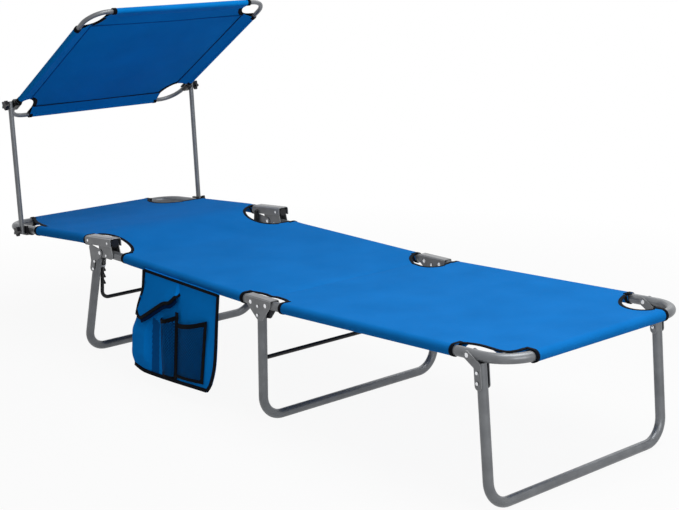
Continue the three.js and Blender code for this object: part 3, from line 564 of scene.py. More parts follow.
# Head channels, with rolled shoulders and rounded ends
CHANNEL_BACK = -0.105
CHANNEL_TIP = 0.016
CHANNEL_STATIONS = (CHANNEL_BACK, -0.06, -0.02, CHANNEL_TIP)
CHANNEL_HALF = 0.0172
CHANNEL_TOP = 0.0133
CHANNEL_SKIRT = -0.009
OUTER_SHOULDER = 0.0072
INNER_SHOULDER = 0.0018
SHOULDER_STEPS = 9
CORNER_STEPS = 10
SHEET_METAL = 0.002
OVERRUN = 0.002
ON_EDGE = Matrix.Rotation(math.radians(90), 4, "X")
# (x, z), directions out and up, and radius of each end corner that is rounded
CHANNEL_CORNERS = ((CHANNEL_BACK, CHANNEL_TOP, -1, 1, 0.010), (CHANNEL_BACK, CHANNEL_SKIRT, -1, -1, 0.007),
                   (CHANNEL_TIP, CHANNEL_TOP, 1, 1, 0.004))


def arch(half, top, skirt, shoulder):
    """Open channel section from one skirt over the top to the other."""
    right = [(half - shoulder + shoulder * math.cos(a), top - shoulder + shoulder * math.sin(a))
             for a in turns(math.pi / 2, SHOULDER_STEPS)]
    left = [(-y, z) for y, z in reversed(right)]
    return [(half, skirt), *right, *left, (-half, skirt)]


def round_off(x, z, out, up, radius):
    """What a rounded corner leaves out of a square one, in XZ."""
    curve = [(x - out * radius * (1 - math.cos(a)), z - up * radius * (1 - math.sin(a)))
             for a in turns(math.pi / 2, CORNER_STEPS)]
    beyond, over = x + out * OVERRUN, z + up * OVERRUN
    return [*curve, (x - out * radius, over), (beyond, over), (beyond, z - up * radius)]


outer = arch(CHANNEL_HALF, CHANNEL_TOP, CHANNEL_SKIRT, OUTER_SHOULDER)
inner = arch(CHANNEL_HALF - SHEET_METAL, CHANNEL_TOP - SHEET_METAL, CHANNEL_SKIRT, INNER_SHOULDER)
for side, sign in SIDES.items():
    path = [(Vector((x, sign * RAIL_Y, 0)), ACROSS, UP) for x in CHANNEL_STATIONS]
    channel = sweep_section(f"head_channel_skin_{side}", path, outer + inner[::-1], plate)
    carve(channel, [round_off(*corner) for corner in CHANNEL_CORNERS], ON_EDGE)
    channel.data.transform(head_place)
    settle(channel, "head_section", "grey_plate", f"head_channel_{side}")

# Rivet heads of the sheet-metal pieces: the y of the face they stand on, and their (x, z)
RIVET_R = 0.0036
RIVET_SIDES = 20
RIVET_PROFILE = [(1.0, -0.0004), (1.0, 0.0005), (0.85, 0.0011), (0.5, 0.0016), (0.15, 0.0018)]
RIVETS = {
    "head_leg": (0.2972, [(-0.4764, 0.2705), (-0.4842, 0.2490)]),
    "head_section": (0.2972, [(-0.5035, 0.3225)]),
    "mid_section": (0.2933, [(-0.4251, 0.2935)]),
    "mid_leg": (0.2949, [(0.2048, 0.2855), (0.2036, 0.2640)]),
    "foot_leg": (0.2949, [(0.8838, 0.2877), (0.8852, 0.2665)]),
}


def rivet(x, y, z, out):
    verts = []
    for share, rise in RIVET_PROFILE:
        for a in turns(2 * math.pi, RIVET_SIDES)[:-1]:
            reach = RIVET_R * share
            verts.append((x + reach * math.cos(a), y + out * rise, z + reach * math.sin(a)))
    return make("rivet", verts, ring_faces(len(RIVET_PROFILE), RIVET_SIDES, caps=(-1,)), [steel])


for body, (face, heads) in RIVETS.items():
    made = []
    for x, z in heads:
        made += [rivet(x, sign * face, z, sign) for sign in SIDES.values()]
        if body != "head_section":
            made += [rivet(x, sign * (2 * RAIL_Y - face), z, -sign) for sign in SIDES.values()]
    settle(join(f"rivets_{body}", made), body, "rivet_steel")

# Seat cloth. A sleeve holds each rail between the two distances from the section's pin
SLEEVE_R = 0.0128
CLOTH = 0.0012
SEAM = 0.019
SLEEVE_TURN = math.radians(242)
SLEEVE_GAP = 0.003
SLEEVE_PITCH = 0.00375
FLAP_DROP = 2.2 * CLOTH
CUT_OVERRUN = 0.006
STEP_X = 0.0105
STEP_Y = 0.0125
HEAD_SLEEVE = (0.375, 0.110)
MID_SLEEVE = (0.532, 0.032)
FOOT_SLEEVE = (0.046, 0.585)
END_HALF = {"head": {"near": 0.2037, "far": 0.2037}, "foot": {"near": 0.2175, "far": 0.2037}}

# How far the kinks of the cloth's line are eased, everywhere and more from a place towards the head
KINK_EASE = 0.012
HEAD_EASE = 0.03
HEAD_EASE_FROM = -0.2
HEAD_EASE_SPAN = 0.1
# How deep the cloth hangs and dips at the fold
SEAT_SAG = 0.0035
SAG_SPAN = 0.12
FOLD_DIP = 0.0022
FOLD_DIP_REACH = 0.012

head_end = along(PIN_HEAD, HEAD_SLOPE, -HEAD_LENGTH)
foot_end = along(PIN_FOOT, FOOT_SLOPE, FOOT_LENGTH)
TOP_LINE = [
    along(PIN_HEAD, HEAD_SLOPE, -HEAD_LENGTH, SLEEVE_R),
    along(PIN_HEAD, HEAD_SLOPE, -HEAD_SLEEVE[1], SLEEVE_R),
    along(PIN_MID, MID_SLOPE, -MID_SLEEVE[0], SLEEVE_R),
    (PIN_MID.x, PIN_MID.z + SLEEVE_R),
    (PIN_FOOT.x, PIN_FOOT.z + SLEEVE_R),
    along(PIN_FOOT, FOOT_SLOPE, FOOT_LENGTH, SLEEVE_R),
]


def line_height(x):
    for (x0, z0), (x1, z1) in zip(TOP_LINE, TOP_LINE[1:]):
        if x <= x1 or (x1, z1) == TOP_LINE[-1]:
            return z0 + (z1 - z0) * (x - x0) / (x1 - x0)


def top_height(x):
    """The cloth's line over the rails, with its kinks eased."""
    inside = clamp((HEAD_EASE_FROM - x) / HEAD_EASE_SPAN) * clamp((x - head_end[0]) / HEAD_EASE_SPAN)
    reach = KINK_EASE + HEAD_EASE * inside
    return sum(line_height(x + reach * k / 5) for k in range(-5, 6)) / 11


def sag(x, y):
    """How far the cloth hangs below its line, with shallow waves that fade at the rails."""
    share = min(1.0, abs(y) / RAIL_Y)
    span = clamp(min(x - head_end[0], foot_end[0] - x) / SAG_SPAN)
    fold = FOLD_DIP * math.exp(-((x - FOLD.x) / FOLD_DIP_REACH) ** 2)
    wave = 0.0022 * ripple(x * 5, y * 9, 0.3) + 0.0009 * ripple(x * 17, y * 7, 4.0)
    return (1 - share ** 2) * span * (SEAT_SAG + wave) + (fold if share < 1 else 0.0)


def cloth_height(x, y):
    return top_height(x) - sag(x, y)


def axis_height(x):
    return top_height(x) - SLEEVE_R


def bezier(points, count=22):
    result = []
    for i in range(count + 1):
        t = i / count
        u = 1 - t
        weights = (u ** 3, 3 * u * u * t, 3 * u * t * t, t ** 3)
        result.append(tuple(sum(w * p[k] for w, p in zip(weights, points)) for k in (0, 1)))
    return result


def notch_curve(start, end, pulls):
    return bezier([(start, RAIL_Y - TUBE_R), *pulls, (end, RAIL_Y - TUBE_R)])


def corner_curve(start, end, pulls, half):
    """Runs from the side sleeve's end to the inner side of the end sleeve."""
    out = math.copysign(1, end - start)
    return bezier([(start, RAIL_Y - TUBE_R + 0.002), *pulls, (end - out * (SLEEVE_R + SLEEVE_GAP), half)])


# Inner edges of the cut-outs, each from one sleeve's end to the next
hinge_from = TOP_LINE[1][0]
hinge_to = TOP_LINE[2][0]
fold_from = along(PIN_MID, MID_SLOPE, -MID_SLEEVE[1])[0]
fold_to = along(PIN_FOOT, FOOT_SLOPE, FOOT_SLEEVE[0])[0]
head_from = along(PIN_HEAD, HEAD_SLOPE, -HEAD_SLEEVE[0])[0]
foot_from = along(PIN_FOOT, FOOT_SLOPE, FOOT_SLEEVE[1])[0]
HEAD_PULLS = {"near": [(-0.690, 0.279), (-0.860, 0.262)], "far": [(-0.775, 0.139), (-0.900, 0.144)]}
HINGE_PULLS = {"near": [(-0.518, 0.199), (-0.372, 0.222)], "far": [(-0.505, 0.180), (-0.345, 0.150)]}
FOLD_PULLS = {"near": [(0.165, 0.254), (0.258, 0.245)], "far": [(0.170, 0.195), (0.316, 0.145)]}
FOOT_PULLS = {"near": [(0.862, 0.226), (0.948, 0.308)], "far": [(0.843, 0.152), (0.945, 0.140)]}
curves = {kind: {} for kind in ("head", "hinge", "fold", "fold_before", "fold_after", "foot")}
for side in SIDES:
    curves["head"][side] = corner_curve(head_from, head_end[0], HEAD_PULLS[side], END_HALF["head"][side])
    curves["hinge"][side] = notch_curve(hinge_from, hinge_to, HINGE_PULLS[side])
    curves["foot"][side] = corner_curve(foot_from, foot_end[0], FOOT_PULLS[side], END_HALF["foot"][side])
    whole = notch_curve(fold_from, fold_to, FOLD_PULLS[side])
    half = len(whole) // 2
    curves["fold"][side] = whole
    curves["fold_before"][side] = whole[:half + 1]
    curves["fold_after"][side] = whole[half:]


def mirror(points, sign):
    return [(x, sign * y) for x, y in points]


def outline(curve, edge, reach):
    """Closed outline of a cut-out from its inner edge, out to an edge and past its end by a reach."""
    start, (end, low) = curve[0][0], curve[-1]
    out = end + math.copysign(reach, end - start)
    return [(start, edge), *curve, (out, low), (out, edge)]


def wrap_arc(radius, inset, steps=14):
    """A sleeve's section from its top outwards, round and back to its seam, as (outwards, up)."""
    arc = [(radius * math.sin(a), radius * math.cos(a)) for a in turns(SLEEVE_TURN, steps)[1:]]
    seam = Vector((-inset, radius - FLAP_DROP))
    return arc + [tuple(Vector(arc[-1]).lerp(seam, k / 3)) for k in (1, 2, 3)]


class Cloth:
    """Grid of vertices that other strips can be sewn to."""

    def __init__(self):
        self.verts, self.uvs, self.faces = [], [], []

    def point(self, position, uv):
        self.verts.append(Vector(position))
        self.uvs.append(uv)
        return len(self.verts) - 1

    def strip(self, first, rows):
        """Sews rows of points to a first row that already exists."""
        previous = first
        for row in rows:
            for a, b, c, d in zip(previous, previous[1:], row[1:], row):
                self.faces.append([a, b, c, d])
            previous = row

    def grid(self, xs, ys, height):
        rows = [[self.point((x, y, height(x, y)), (x, y)) for y in ys] for x in xs]
        self.strip(rows[0], rows[1:])
        return rows

    def sleeve(self, row, line, arc, place):
        """Sews a sleeve to a row. place gives a point and its flat place from a line's and the arc's."""
        self.strip(row, [[self.point(*place(value, *section)) for value in line] for section in arc])

    def build(self, name, materials, thickness, towards=UP, slots=None):
        """An object whose faces look towards a direction, thickened behind them."""
        obj = make(name, self.verts, self.faces, materials, self.uvs, slots)
        if sum(face.normal.dot(towards) * face.area for face in obj.data.polygons) < 0:
            obj.data.flip_normals()
        if thickness:
            modify(obj, "SOLIDIFY", thickness=thickness, offset=-1, use_even_offset=True)
        return obj


def sleeved_cloth(name, xs, ys, height, axis, sleeve, wraps, material, thickness):
    """Cloth with sleeves round two side tubes, whose height axis gives, and round the ends in wraps.

    sleeve is (radius, inset, first run, pitch of the runs), and wraps has (row, end, direction).
    """
    radius, inset, first, pitch = sleeve
    arc = [(first + pitch * step, *spot) for step, spot in enumerate(wrap_arc(radius, inset))]
    cloth = Cloth()
    grid = cloth.grid(xs, ys, height)
    for column, sign in ((0, -1), (-1, 1)):
        cloth.sleeve([row[column] for row in grid], xs, arc, lambda x, run, out, up: (
            (x, sign * (ys[-1] + out), axis(x) + up), (x, sign * (ys[-1] + run))))
    for row, (x_end, z_end), sign in wraps:
        cloth.sleeve(grid[row], ys, arc, lambda y, run, out, up: (
            (x_end + sign * out, y, z_end + up), (x_end + sign * run, y)))
    return cloth.build(name, [material], thickness)


def seat_piece(name, x0, x1, wraps=()):
    xs, ys = spread(x0, x1, STEP_X), spread(-RAIL_Y, RAIL_Y, STEP_Y)
    sleeve = (SLEEVE_R, SEAM, SLEEVE_PITCH, SLEEVE_PITCH)
    return sleeved_cloth(name, xs, ys, cloth_height, axis_height, sleeve, wraps, blue, CLOTH)


# Section of webbing folded over a cloth's edge: the cloth's top is at 0 and its edge at 0
BINDING = [(-0.0016, -0.0006), (-0.0010, 0.0006), (0.0003, 0.0010), (0.0062, 0.0010), (0.0070, 0.0003),
           (0.0070, -0.0014), (0.0062, -0.0022), (0.0003, -0.0022), (-0.0010, -0.0018)]
WIDE_BINDING = [(a * 1.4, b) for a, b in BINDING]


def over_cloth(name, points, height, section, material, inboard=None):
    """Sweeps a section along (x, y) points at a height, with its first direction turned inboard."""
    points = [Vector((x, y, 0)) for x, y in points]
    path = []
    for i, point in enumerate(points):
        line = heading(points, i)
        beside = Vector((-line.y, line.x, 0))
        if inboard and beside.dot(Vector((*inboard, 0)) - point) < 0:
            beside = -beside
        path.append((Vector((point.x, point.y, height(point.x, point.y))), beside, UP))
    return sweep_section(name, path, section, material)


BAND_WIDTH = 0.009
BAND_INSET = 0.004
BAND_THICK = 0.0009
BAND_SINK = 0.0012
WEB_CHAMFER = 0.0006


def band(centre, axis, out, radius=SLEEVE_R, seam=SEAM, width=BAND_WIDTH):
    """Webbing round a sleeve's end. out points from the cloth towards the tube."""
    out = Vector(out)
    up = out.cross(axis)
    up = up if up.z > 0 else -up
    loop = [(-seam, radius), (-seam / 2, radius), (0.0, radius)] + wrap_arc(radius, seam)
    edge, rim = width / 2, BAND_THICK * 0.7
    flat = edge - WEB_CHAMFER
    section = [(-edge, -BAND_SINK), (-edge, rim), (-flat, BAND_THICK), (flat, BAND_THICK), (edge, rim),
               (edge, -BAND_SINK)]
    verts, uvs = [], []
    run = 0.0
    for i, (a, b) in enumerate(loop):
        before, after = loop[i - 1], loop[(i + 1) % len(loop)]
        lift = Vector((before[1] - after[1], after[0] - before[0])).normalized()
        if lift.dot(Vector((a + 0.3 * seam, b))) < 0:
            lift = -lift
        run += math.dist(before, (a, b))
        for shift, rise in section:
            spot = out * (a + lift.x * rise) + up * (b + lift.y * rise)
            verts.append(Vector(centre) + axis * shift + spot)
            uvs.append((run, shift))
    faces = ring_faces(len(loop), len(section), caps=(), closed=True)
    return make("band", verts, faces, [webbing], uvs)


def notch_trim(kind, ends):
    """Bindings of one kind of cut-out on both sides, with bands at the sleeve ends named by ends."""
    made = []
    for side, sign in SIDES.items():
        curve = curves[kind][side]
        inboard = (curve[len(curve) // 2][0], 0)
        made.append(over_cloth("edge", mirror(curve, sign), cloth_height, BINDING, webbing, inboard))
        for x, direction, slope in ends:
            centre = (x + direction * BAND_INSET, sign * RAIL_Y, axis_height(x))
            made.append(band(centre, Vector((math.cos(slope), 0, math.sin(slope))), (0, sign, 0)))
    return made


def end_bands(end, direction, halves):
    """Bands at both ends of an end sleeve."""
    return [band((end[0], sign * (halves[side] - BAND_WIDTH / 2), end[1]), ACROSS, (direction, 0, 0))
            for side, sign in SIDES.items()]


JOIN_X = 0.10
head_cloth = seat_piece("seat_cloth_head", head_end[0], JOIN_X, [(0, head_end, -1)])
mid_cloth = seat_piece("seat_cloth_mid", JOIN_X, FOLD.x)
foot_cloth = seat_piece("seat_cloth_foot", FOLD.x, foot_end[0], [(-1, foot_end, 1)])
# How far each kind of cut-out runs on past the end sleeve
CUT_REACH = {"head": 0.05, "hinge": 0.0, "fold": 0.0, "foot": 0.05}
for obj, kinds in ((head_cloth, ("head", "hinge")), (mid_cloth, ("fold",)), (foot_cloth, ("fold", "foot"))):
    cuts = [mirror(outline(curves[kind][side], RAIL_Y + SLEEVE_R + CUT_OVERRUN, CUT_REACH[kind]), sign)
            for kind in kinds for side, sign in SIDES.items()]
    carve(obj, cuts)

trim_head = join("seat_trim_head", [
    *notch_trim("head", [(head_from, 1, HEAD_SLOPE)]), *end_bands(head_end, -1, END_HALF["head"]),
    *notch_trim("hinge", [(hinge_from, -1, HEAD_SLOPE), (hinge_to, 1, MID_SLOPE)])])
trim_foot = join("seat_trim_foot", [
    *notch_trim("foot", [(foot_from, -1, FOOT_SLOPE)]), *end_bands(foot_end, 1, END_HALF["foot"]),
    *notch_trim("fold_after", [(fold_to, 1, FOOT_SLOPE)])])
trim_mid = join("seat_trim_mid", notch_trim("fold_before", [(fold_from, -1, MID_SLOPE)]))

# Each piece and its trim, the bodies before and after, and the stretch between them. Only the pieces are
# used here: their transforms are baked
JOINTS = (
    ((head_cloth, trim_head), "head_section", "mid_section", (-0.475, 0, 0.33), (-0.350, 0, 0.31)),
    ((mid_cloth, trim_mid), "mid_section", "mid_leg", (0.15, 0, 0.30), (0.202, 0, 0.30)),
    ((foot_cloth, trim_foot), "mid_leg", "foot_section", (0.206, 0, 0.30), (0.268, 0, 0.30)),
)
for pieces, *joint in JOINTS:
    for obj in pieces:
        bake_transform(obj)
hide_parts("head_cover", "mid_cover")
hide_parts("fold_cover")
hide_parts("foot_cover")

# Canopy cloth
HOOP_SLEEVE_R = 0.0078
HOOP_PITCH = 0.003
HOOP_CUT_REACH = 0.03
CANOPY_STEP_X = 0.0115
CANOPY_SAG = 0.008
CANOPY_WAVE = 0.002
HOOP_BAND = {"radius": HOOP_SLEEVE_R, "seam": 0.014, "width": 0.010}
CANOPY_CLOTH = 0.0008
SIDE_START = 0.02
SIDE_END = HIGH_REACH - 0.0770
LOW_HALF = 0.215
HIGH_HALF = 0.220
HEM = 0.040
HIGH_HEM = 0.078
HIGH_HEM_HALF = 0.252
HEM_OVERRUN = 0.008
HEM_STEP = 0.02


def canopy_sag(x, y):
    u = (x + LOW_REACH) / (LOW_REACH + HIGH_REACH)
    v = y / CANOPY_Y
    crown = max(0.0, (1 - v * v)) * max(0.0, 4 * u * (1 - u))
    return HOOP_SLEEVE_R - crown * (CANOPY_SAG + CANOPY_WAVE * ripple(x * 9, y * 9, 2.0))


def canopy_corner(start, end, half):
    out = math.copysign(1, end - start)
    inner = end - out * (HOOP_SLEEVE_R + SLEEVE_GAP)
    pulls = [(start, half + 0.022), (start + 0.26 * (inner - start), half)]
    return bezier([(start, CANOPY_Y - CANOPY_R), *pulls, (inner, half)])


def hem_height(x, y):
    """The underside of the canopy, or of the flap that is sewn to it."""
    return min(canopy_sag(x, y), HOOP_SLEEVE_R - FLAP_DROP) - CANOPY_CLOTH


def hem_line(points, material, half=0.0016):
    """Sewn edge of a hem on the underside."""
    section = [(-half, -0.0009), (-half, 0.0002), (half, 0.0002), (half, -0.0009)]
    return over_cloth("hem", points, hem_height, section, material)


canopy = sleeved_cloth(
    "canopy_cloth", spread(-LOW_REACH, HIGH_REACH, CANOPY_STEP_X), spread(-CANOPY_Y, CANOPY_Y, STEP_Y),
    canopy_sag, lambda x: 0.0, (HOOP_SLEEVE_R, HEM, 0.0, HOOP_PITCH),
    [(0, (-LOW_REACH, 0.0), -1), (-1, (HIGH_REACH, 0.0), 1)], canopy_blue, CANOPY_CLOTH)
corner_curves = [canopy_corner(SIDE_START, -LOW_REACH, LOW_HALF),
                 canopy_corner(SIDE_END, HIGH_REACH, HIGH_HALF)]
carve(canopy, [mirror(outline(curve, CANOPY_Y + HOOP_SLEEVE_R + CUT_OVERRUN, HOOP_CUT_REACH), sign)
               for curve in corner_curves for sign in SIDES.values()])
canopy_trim = []
for sign in SIDES.values():
    for curve in corner_curves:
        line = mirror(curve, sign)
        canopy_trim.append(over_cloth("edge", line, canopy_sag, WIDE_BINDING, webbing, (0.2, 0)))
    for x, direction in ((SIDE_START, 1), (SIDE_END, -1)):
        centre = (x + direction * BAND_INSET, sign * CANOPY_Y, 0)
        canopy_trim.append(band(centre, FOOTWARDS, (0, sign, 0), **HOOP_BAND))
    for end, half in ((-LOW_REACH, LOW_HALF), (HIGH_REACH, HIGH_HALF)):
        centre = (end, sign * (half - BAND_INSET), 0)
        canopy_trim.append(band(centre, ACROSS, (math.copysign(1, end), 0, 0), **HOOP_BAND))
for sign, thread, half in ((-1, seam_blue, 0.0012), (1, webbing, 0.0009)):
    side_y = sign * (CANOPY_Y - HEM)
    line = [(x, side_y) for x in spread(SIDE_START - HEM_OVERRUN, SIDE_END + HEM_OVERRUN, HEM_STEP)]
    canopy_trim.append(hem_line(line, thread, half))
for x, reach, thread in ((HEM - LOW_REACH, LOW_HALF, webbing),
                         (HIGH_REACH - HIGH_HEM, HIGH_HEM_HALF, seam_blue)):
    canopy_trim.append(hem_line([(x, y) for y in spread(-reach, reach, HEM_STEP)], thread))
canopy_trim = join("canopy_trim", canopy_trim)
for obj in (canopy, canopy_trim):
    obj.data.transform(canopy_place)
    settle(obj, "canopy", "blue_fabric")
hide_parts("canopy_cover")

# Storage bag, in a plane that leans out below: x along the rail, z up and t outwards.
# Its sides are (z, x) points, its bottom (share across, z) and the flap's edge (share, x, z, t)
BAG_PLANE = (-0.2935, 0.2885)
BAG_LEAN = 0.07
BAG_OUT = Vector((0, -1, BAG_LEAN)).normalized()
BAG_CLOTH = 0.0012
BAG_TOP = 0.2937
BAG_TOP_FALL = 0.0073
BAG_LEFT = [(0.029, -0.276), (0.038, -0.278), (0.051, -0.280), (0.065, -0.291), (0.096, -0.288),
            (0.150, -0.275), (0.173, -0.272), (0.205, -0.262), (0.236, -0.248), (0.296, -0.244)]
BAG_RIGHT = [(0.029, 0.020), (0.0385, 0.0250), (0.060, 0.041), (0.113, 0.0555), (0.231, 0.0595),
             (0.296, 0.062)]
BAG_BOTTOM = [(0.0, 0.038), (0.12, 0.029), (0.45, 0.030), (1.0, 0.0385)]
FLAP_EDGE = [(0.0, -0.268, 0.182, 0.004), (0.10, -0.249, 0.1665, 0.008), (0.24, -0.212, 0.184, 0.012),
             (0.5, -0.146, 0.2235, 0.014), (0.66, -0.119, 0.2315, 0.013), (0.86, -0.101, 0.2475, 0.008),
             (1.0, -0.093, 0.256, 0.004)]


def bag_point(x, z, t=0.0):
    return Vector((x, BAG_PLANE[0] + BAG_LEAN * (z - BAG_PLANE[1]) - t, z))


def through(points, key, column=1):
    """Smooth curve through (key, value, ...) points."""
    last = len(points) - 1
    i = next((k for k in range(last) if key <= points[k + 1][0]), last - 1)
    a, b = points[i], points[i + 1]
    reach = b[0] - a[0]
    share = clamp((key - a[0]) / reach)
    before, after = points[max(i - 1, 0)], points[min(i + 2, last)]
    slope_a = (b[column] - before[column]) / (b[0] - before[0]) * reach
    slope_b = (after[column] - a[column]) / (after[0] - a[0]) * reach
    u = 1 - share
    return (a[column] * (1 + 2 * share) * u * u + b[column] * share * share * (1 + 2 * u)
            + slope_a * share * u * u - slope_b * share * share * u)


def bag_top(x):
    return BAG_TOP - BAG_TOP_FALL * (x + 0.252) / 0.313


def bag_spot(s, v):
    """(x, z) of a point of the bag, s across and v down."""
    top = BAG_TOP - BAG_TOP_FALL * s
    z = top + (through(BAG_BOTTOM, s) - top) * v
    left, right = through(BAG_LEFT, z), through(BAG_RIGHT, z)
    return left + (right - left) * s, z


def surface(name, rows, columns, place, material, thickness=BAG_CLOTH, shaded=None):
    """Sheet from place(k, v), a point for shares across and down. shaded picks the faces of a pleat that get
    painted shade.
    """
    cloth = Cloth()
    grid = []
    for j in range(rows + 1):
        row = [place(i / columns, j / rows) for i in range(columns + 1)]
        grid.append([cloth.point(point, (point.x, point.z)) for point in row])
    cloth.strip(grid[0], grid[1:])
    materials, slots = [material], None
    if shaded:
        materials.append(pleat_shade_blue)
        slots = [int(shaded(cloth.verts[face[0]])) for face in cloth.faces]
    return cloth.build(name, materials, thickness, -ACROSS, slots)


def ribbon(points, width, thick, across=None, material=webbing, samples=4):
    """Flat webbing along (x, z, t) points, lying in the bag's plane or standing across the path. With
    another material it makes other strips, such as the painted shadow under the flap.
    """
    keys = [(i, *point) for i, point in enumerate(points)]
    stations = spread(0.0, len(points) - 1.0, 1.0 / samples)
    line = [bag_point(*(through(keys, key, column) for column in (1, 2, 3))) for key in stations]
    edge, back = width / 2, -thick * 0.6
    flat = edge - WEB_CHAMFER
    section = [(-edge, 0), (-flat, thick), (flat, thick), (edge, 0), (edge, back), (-edge, back)]
    path = []
    for i, point in enumerate(line):
        run = heading(line, i)
        if across is None:
            path.append((point, run.cross(BAG_OUT).normalized(), BAG_OUT))
        else:
            out = run.cross(across).normalized()
            path.append((point, across, out if out.dot(BAG_OUT) > 0 else -out))
    return sweep_section("ribbon", path, section, material)


def pouch_depth(x, z):
    """The front layer stands off the back one, most in its left compartment."""
    filled = ease(0.178, 0.125, z) * ease(0.030, 0.080, z)
    left = ease(-0.297, -0.272, x) * ease(-0.205, -0.226, x)
    behind_net = ease(-0.182, -0.150, x) * ease(0.050, 0.010, x)
    folds = 0.0012 * ripple(x * 30, z * 9, 1.5)
    return 0.0020 + filled * (0.0135 * left + 0.003 * behind_net) + folds * ease(0.29, 0.25, z)


def bag_back(s, v):
    x, z = bag_spot(s, v)
    return bag_point(x, z, 0.0008 * math.sin(14 * s + 3 * v))


def bag_front(s, v):
    x, z = bag_spot(s, v)
    return bag_point(x, z, pouch_depth(x, z))


def bag_flap(k, v):
    """The flap hangs open from the top edge, and its right side is sewn down."""
    x_low, z_low, t_low = (through(FLAP_EDGE, k, column) for column in (1, 2, 3))
    x_top = -0.245 + (x_low + 0.268) * 0.86
    z = bag_top(x_top) + (z_low - bag_top(x_top)) * v
    x = x_top + (x_low - x_top) * v
    if k == 0:
        x = through(BAG_LEFT, z) + 0.001
    sewn = ease(0.84, 1.0, k)
    stand = 0.0046 - 0.0040 * sewn + t_low * (1 - sewn) * v ** 1.6 + 0.0006 * math.sin(9 * k) * v
    return bag_point(x, z, stand)


def bottle_net(k, v):
    bulge = math.sin(math.pi * k) ** 0.7
    rim = 0.181 + 0.020 * k - 0.004 * bulge
    z = rim + (0.043 - rim) * v
    x = -0.163 + 0.007 * v + (0.068 - 0.008 * v) * k
    return bag_point(x, z, 0.0035 + (0.021 - 0.010 * v ** 3) * bulge)


def side_net(k, v):
    bulge = math.sin(math.pi * k)
    rim = 0.181 + 0.028 * k - 0.003 * bulge
    z = rim + (0.051 + 0.006 * k - rim) * v
    x = -0.090 - 0.008 * v + (0.113 - 0.002 * v) * k
    return bag_point(x, z, 0.0062 + 0.009 * bulge * (1 - 0.5 * v) + 0.003 * (1 - k))


def in_pleat_shade(point):
    """The recess between the left compartment and the nets, whose faces get painted shade."""
    return -0.2075 < point.x < -0.1765 and point.z < 0.176 - 0.25 * (point.x + 0.2)


bag_body = join("bag_body", [surface("back", 26, 30, bag_back, bag_lit_blue),
                             surface("front", 90, 110, bag_front, bag_lit_blue, shaded=in_pleat_shade),
                             surface("flap", 20, 36, bag_flap, bag_lit_blue)])
bag_nets = join("bag_nets", [surface("net", 24, 20, bottle_net, netting, 0),
                             surface("net", 24, 20, side_net, netting, 0)])

# Webbing of the bag, and a strip of painted shadow under the flap. Heights and shares are where a ribbon's
# points are
LEFT_HEIGHTS = (0.290, 0.26, 0.236, 0.205, 0.185, 0.170, 0.150, 0.12, 0.096, 0.075, 0.06, 0.051, 0.040)
RIGHT_HEIGHTS = (0.284, 0.25, 0.21, 0.17, 0.13, 0.10, 0.075, 0.055, 0.042)
CENTRE_HEIGHTS = (0.212, 0.18, 0.14, 0.10, 0.07, 0.044)
BOTTOM_SHARES = (0.004, 0.05, 0.12, 0.2, 0.35, 0.5, 0.65, 0.8, 0.9, 0.985)
FLAP_SHARES = (0.0, 0.1, 0.22, 0.36, 0.5, 0.6, 0.66, 0.76, 0.86, 0.94, 1.0)
TENTHS = spread(0.0, 1.0, 0.1)


def local(place, k, v):
    """(x, z, t) of a point of a bag surface."""
    x, y, z = place(k, v)
    return x, z, bag_point(x, z).y - y


left_edge = [(through(BAG_LEFT, z) + 0.002, z, 0.0034) for z in LEFT_HEIGHTS]
right_edge = [(through(BAG_RIGHT, z) - 0.003, z, 0.0022) for z in RIGHT_HEIGHTS]
bottom_edge = [(*bag_spot(s, 0.985), 0.0042 - 0.0012 * ease(0.1, 0.4, s)) for s in BOTTOM_SHARES]
flap_edge = [local(bag_flap, k, 0.985) for k in FLAP_SHARES]
# A dark strip just under the flap's edge: painted shadow
flap_shadow_strip = [(x, z - 0.0065, t - 0.0035) for x, z, t in flap_edge[1:9]]
top_strip = [(x, bag_top(x) - 0.004, 0.0052) for x in spread(-0.243, 0.060, 0.03)]
rim_bottle = [local(bottle_net, k, 0.012) for k in TENTHS]
rim_side = [local(side_net, k, 0.012) for k in TENTHS]
side_strip = [local(side_net, 0.965, v) for v in spread(0.0, 1.0, 0.2)]
foot_strip = [local(side_net, k, 0.98) for k in spread(-0.04, 1.0, 0.13)]
bottle_foot = [local(bottle_net, k, 0.985) for k in TENTHS]
centre_strip = [(-0.0945, z, 0.0095) for z in CENTRE_HEIGHTS]
bag_trim = join("bag_trim", [
    ribbon(left_edge[:6], 0.0085, 0.0052),
    ribbon(left_edge[5:], 0.0050, 0.0016),
    ribbon(right_edge, 0.0095, 0.0016),
    ribbon(bottom_edge, 0.0095, 0.0016),
    ribbon(flap_edge, 0.0090, 0.0016),
    ribbon(flap_shadow_strip, 0.0150, 0.0008, material=flap_shadow_fabric),
    ribbon(top_strip, 0.0075, 0.0010),
    ribbon(rim_bottle, 0.0110, 0.0010, UP),
    ribbon(rim_side, 0.0115, 0.0010, UP),
    ribbon(side_strip, 0.0110, 0.0010),
    ribbon(foot_strip, 0.0080, 0.0010),
    ribbon(bottle_foot, 0.0060, 0.0010, UP),
    ribbon(centre_strip, 0.0110, 0.0012),
])
for obj in (bag_body, bag_nets, bag_trim):
    settle(obj, "mid_section", "blue_fabric")
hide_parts("storage_bag")

# Floor, light and camera
FLOOR_HALF = 9
FLOOR_Z = -0.0005
FLOOR_WHITE = 0.93
FLOOR_FADE = (1.1, 2.2)
WORLD_LIGHT = 0.29


def seen_ray(tree):
    """1 for camera, glossy and transmission rays, which see the backdrop as plain white."""
    rays = tree.nodes.new("ShaderNodeLightPath").outputs
    seen = rays["Is Camera Ray"]
    for kind in ("Is Glossy Ray", "Is Transmission Ray"):
        seen = maths(tree, "MAXIMUM", seen, rays[kind])
    return seen


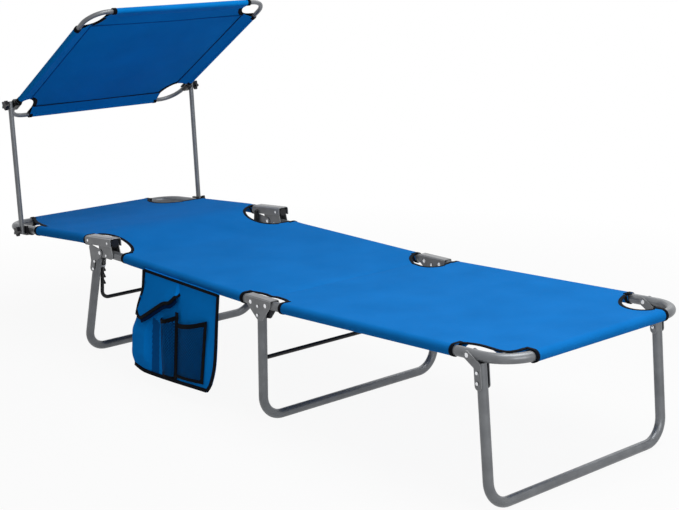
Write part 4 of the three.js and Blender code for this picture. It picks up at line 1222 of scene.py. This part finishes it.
def floor_material(name):
    """White to the rays that see it, save a share near the lounger that takes its shadow."""
    material, tree, shader = new_material(name)
    dress(tree, shader, {"Base Color": (0.55, 0.55, 0.55, 1), "Roughness": 0.9, "Specular IOR Level": 0.0})
    place = coordinates(tree, "Object")
    far = add(tree, "ShaderNodeVectorMath", {0: place}, operation="LENGTH").outputs["Value"]
    share = maths(tree, "MULTIPLY", seen_ray(tree), remap(tree, far, FLOOR_FADE, (FLOOR_WHITE, 1.0)))
    glow = add(tree, "ShaderNodeEmission", {"Strength": 1.0})
    both = add(tree, "ShaderNodeMixShader", {0: share, 1: shader.outputs[0], 2: glow.outputs[0]})
    dress(tree, tree.nodes["Material Output"], {"Surface": both.outputs[0]})
    return material


floor_corners = [(x * FLOOR_HALF, y * FLOOR_HALF, FLOOR_Z) for x, y in ((-1, -1), (1, -1), (1, 1), (-1, 1))]
floor = make("floor", floor_corners, [[0, 1, 2, 3]], [floor_material("floor_white")])

world = bpy.data.worlds.new("studio")
bpy.context.scene.world = world
world.use_nodes = True
tree = world.node_tree
level = remap(tree, seen_ray(tree), target=(WORLD_LIGHT, 1.0))
dress(tree, tree.nodes["Background"], {"Color": (1, 1, 1, 1), "Strength": level})


def lamp(name, place, target, size, power):
    data = bpy.data.lights.new(name, "AREA")
    data.shape = "RECTANGLE"
    data.size, data.size_y = size
    data.energy = power
    obj = bpy.data.objects.new(name, data)
    bpy.context.scene.collection.objects.link(obj)
    obj.location = place
    obj.rotation_euler = (Vector(target) - Vector(place)).to_track_quat("-Z", "Y").to_euler()


lamp("key", place=(1.1, 0.1, 2.5), target=(0.4, 0, 0.3), size=(1.8, 1.4), power=51)
lamp("fill", place=(2.9, -0.7, 1.0), target=(0.2, 0, 0.2), size=(1.4, 1.0), power=20)
lamp("rim", place=(-0.6, 2.2, 1.9), target=(0, 0, 0.3), size=(2.4, 1.0), power=10)

CAMERA_PLACE = (FOLD.x + 2.5038, -2.2629, 1.1716)
YAW, DOWN, ROLL = (math.radians(a) for a in (48.432, 13.591, -0.614))
scene = bpy.context.scene
camera = bpy.data.objects.new("camera", bpy.data.cameras.new("camera"))
scene.collection.objects.link(camera)
scene.camera = camera
camera.data.lens = 76.89
camera.data.sensor_width = 36
camera.data.clip_end = 60
level_right = Vector((math.cos(YAW), math.sin(YAW), 0))
ahead = Vector((-math.sin(YAW) * math.cos(DOWN), math.cos(YAW) * math.cos(DOWN), -math.sin(DOWN)))
level_above = level_right.cross(ahead)
right = level_right * math.cos(ROLL) + level_above * math.sin(ROLL)
above = level_above * math.cos(ROLL) - level_right * math.sin(ROLL)
turn = Matrix((right, above, -ahead)).transposed().to_4x4()
camera.matrix_world = Matrix.Translation(CAMERA_PLACE) @ turn
scene.view_settings.view_transform = "Standard"
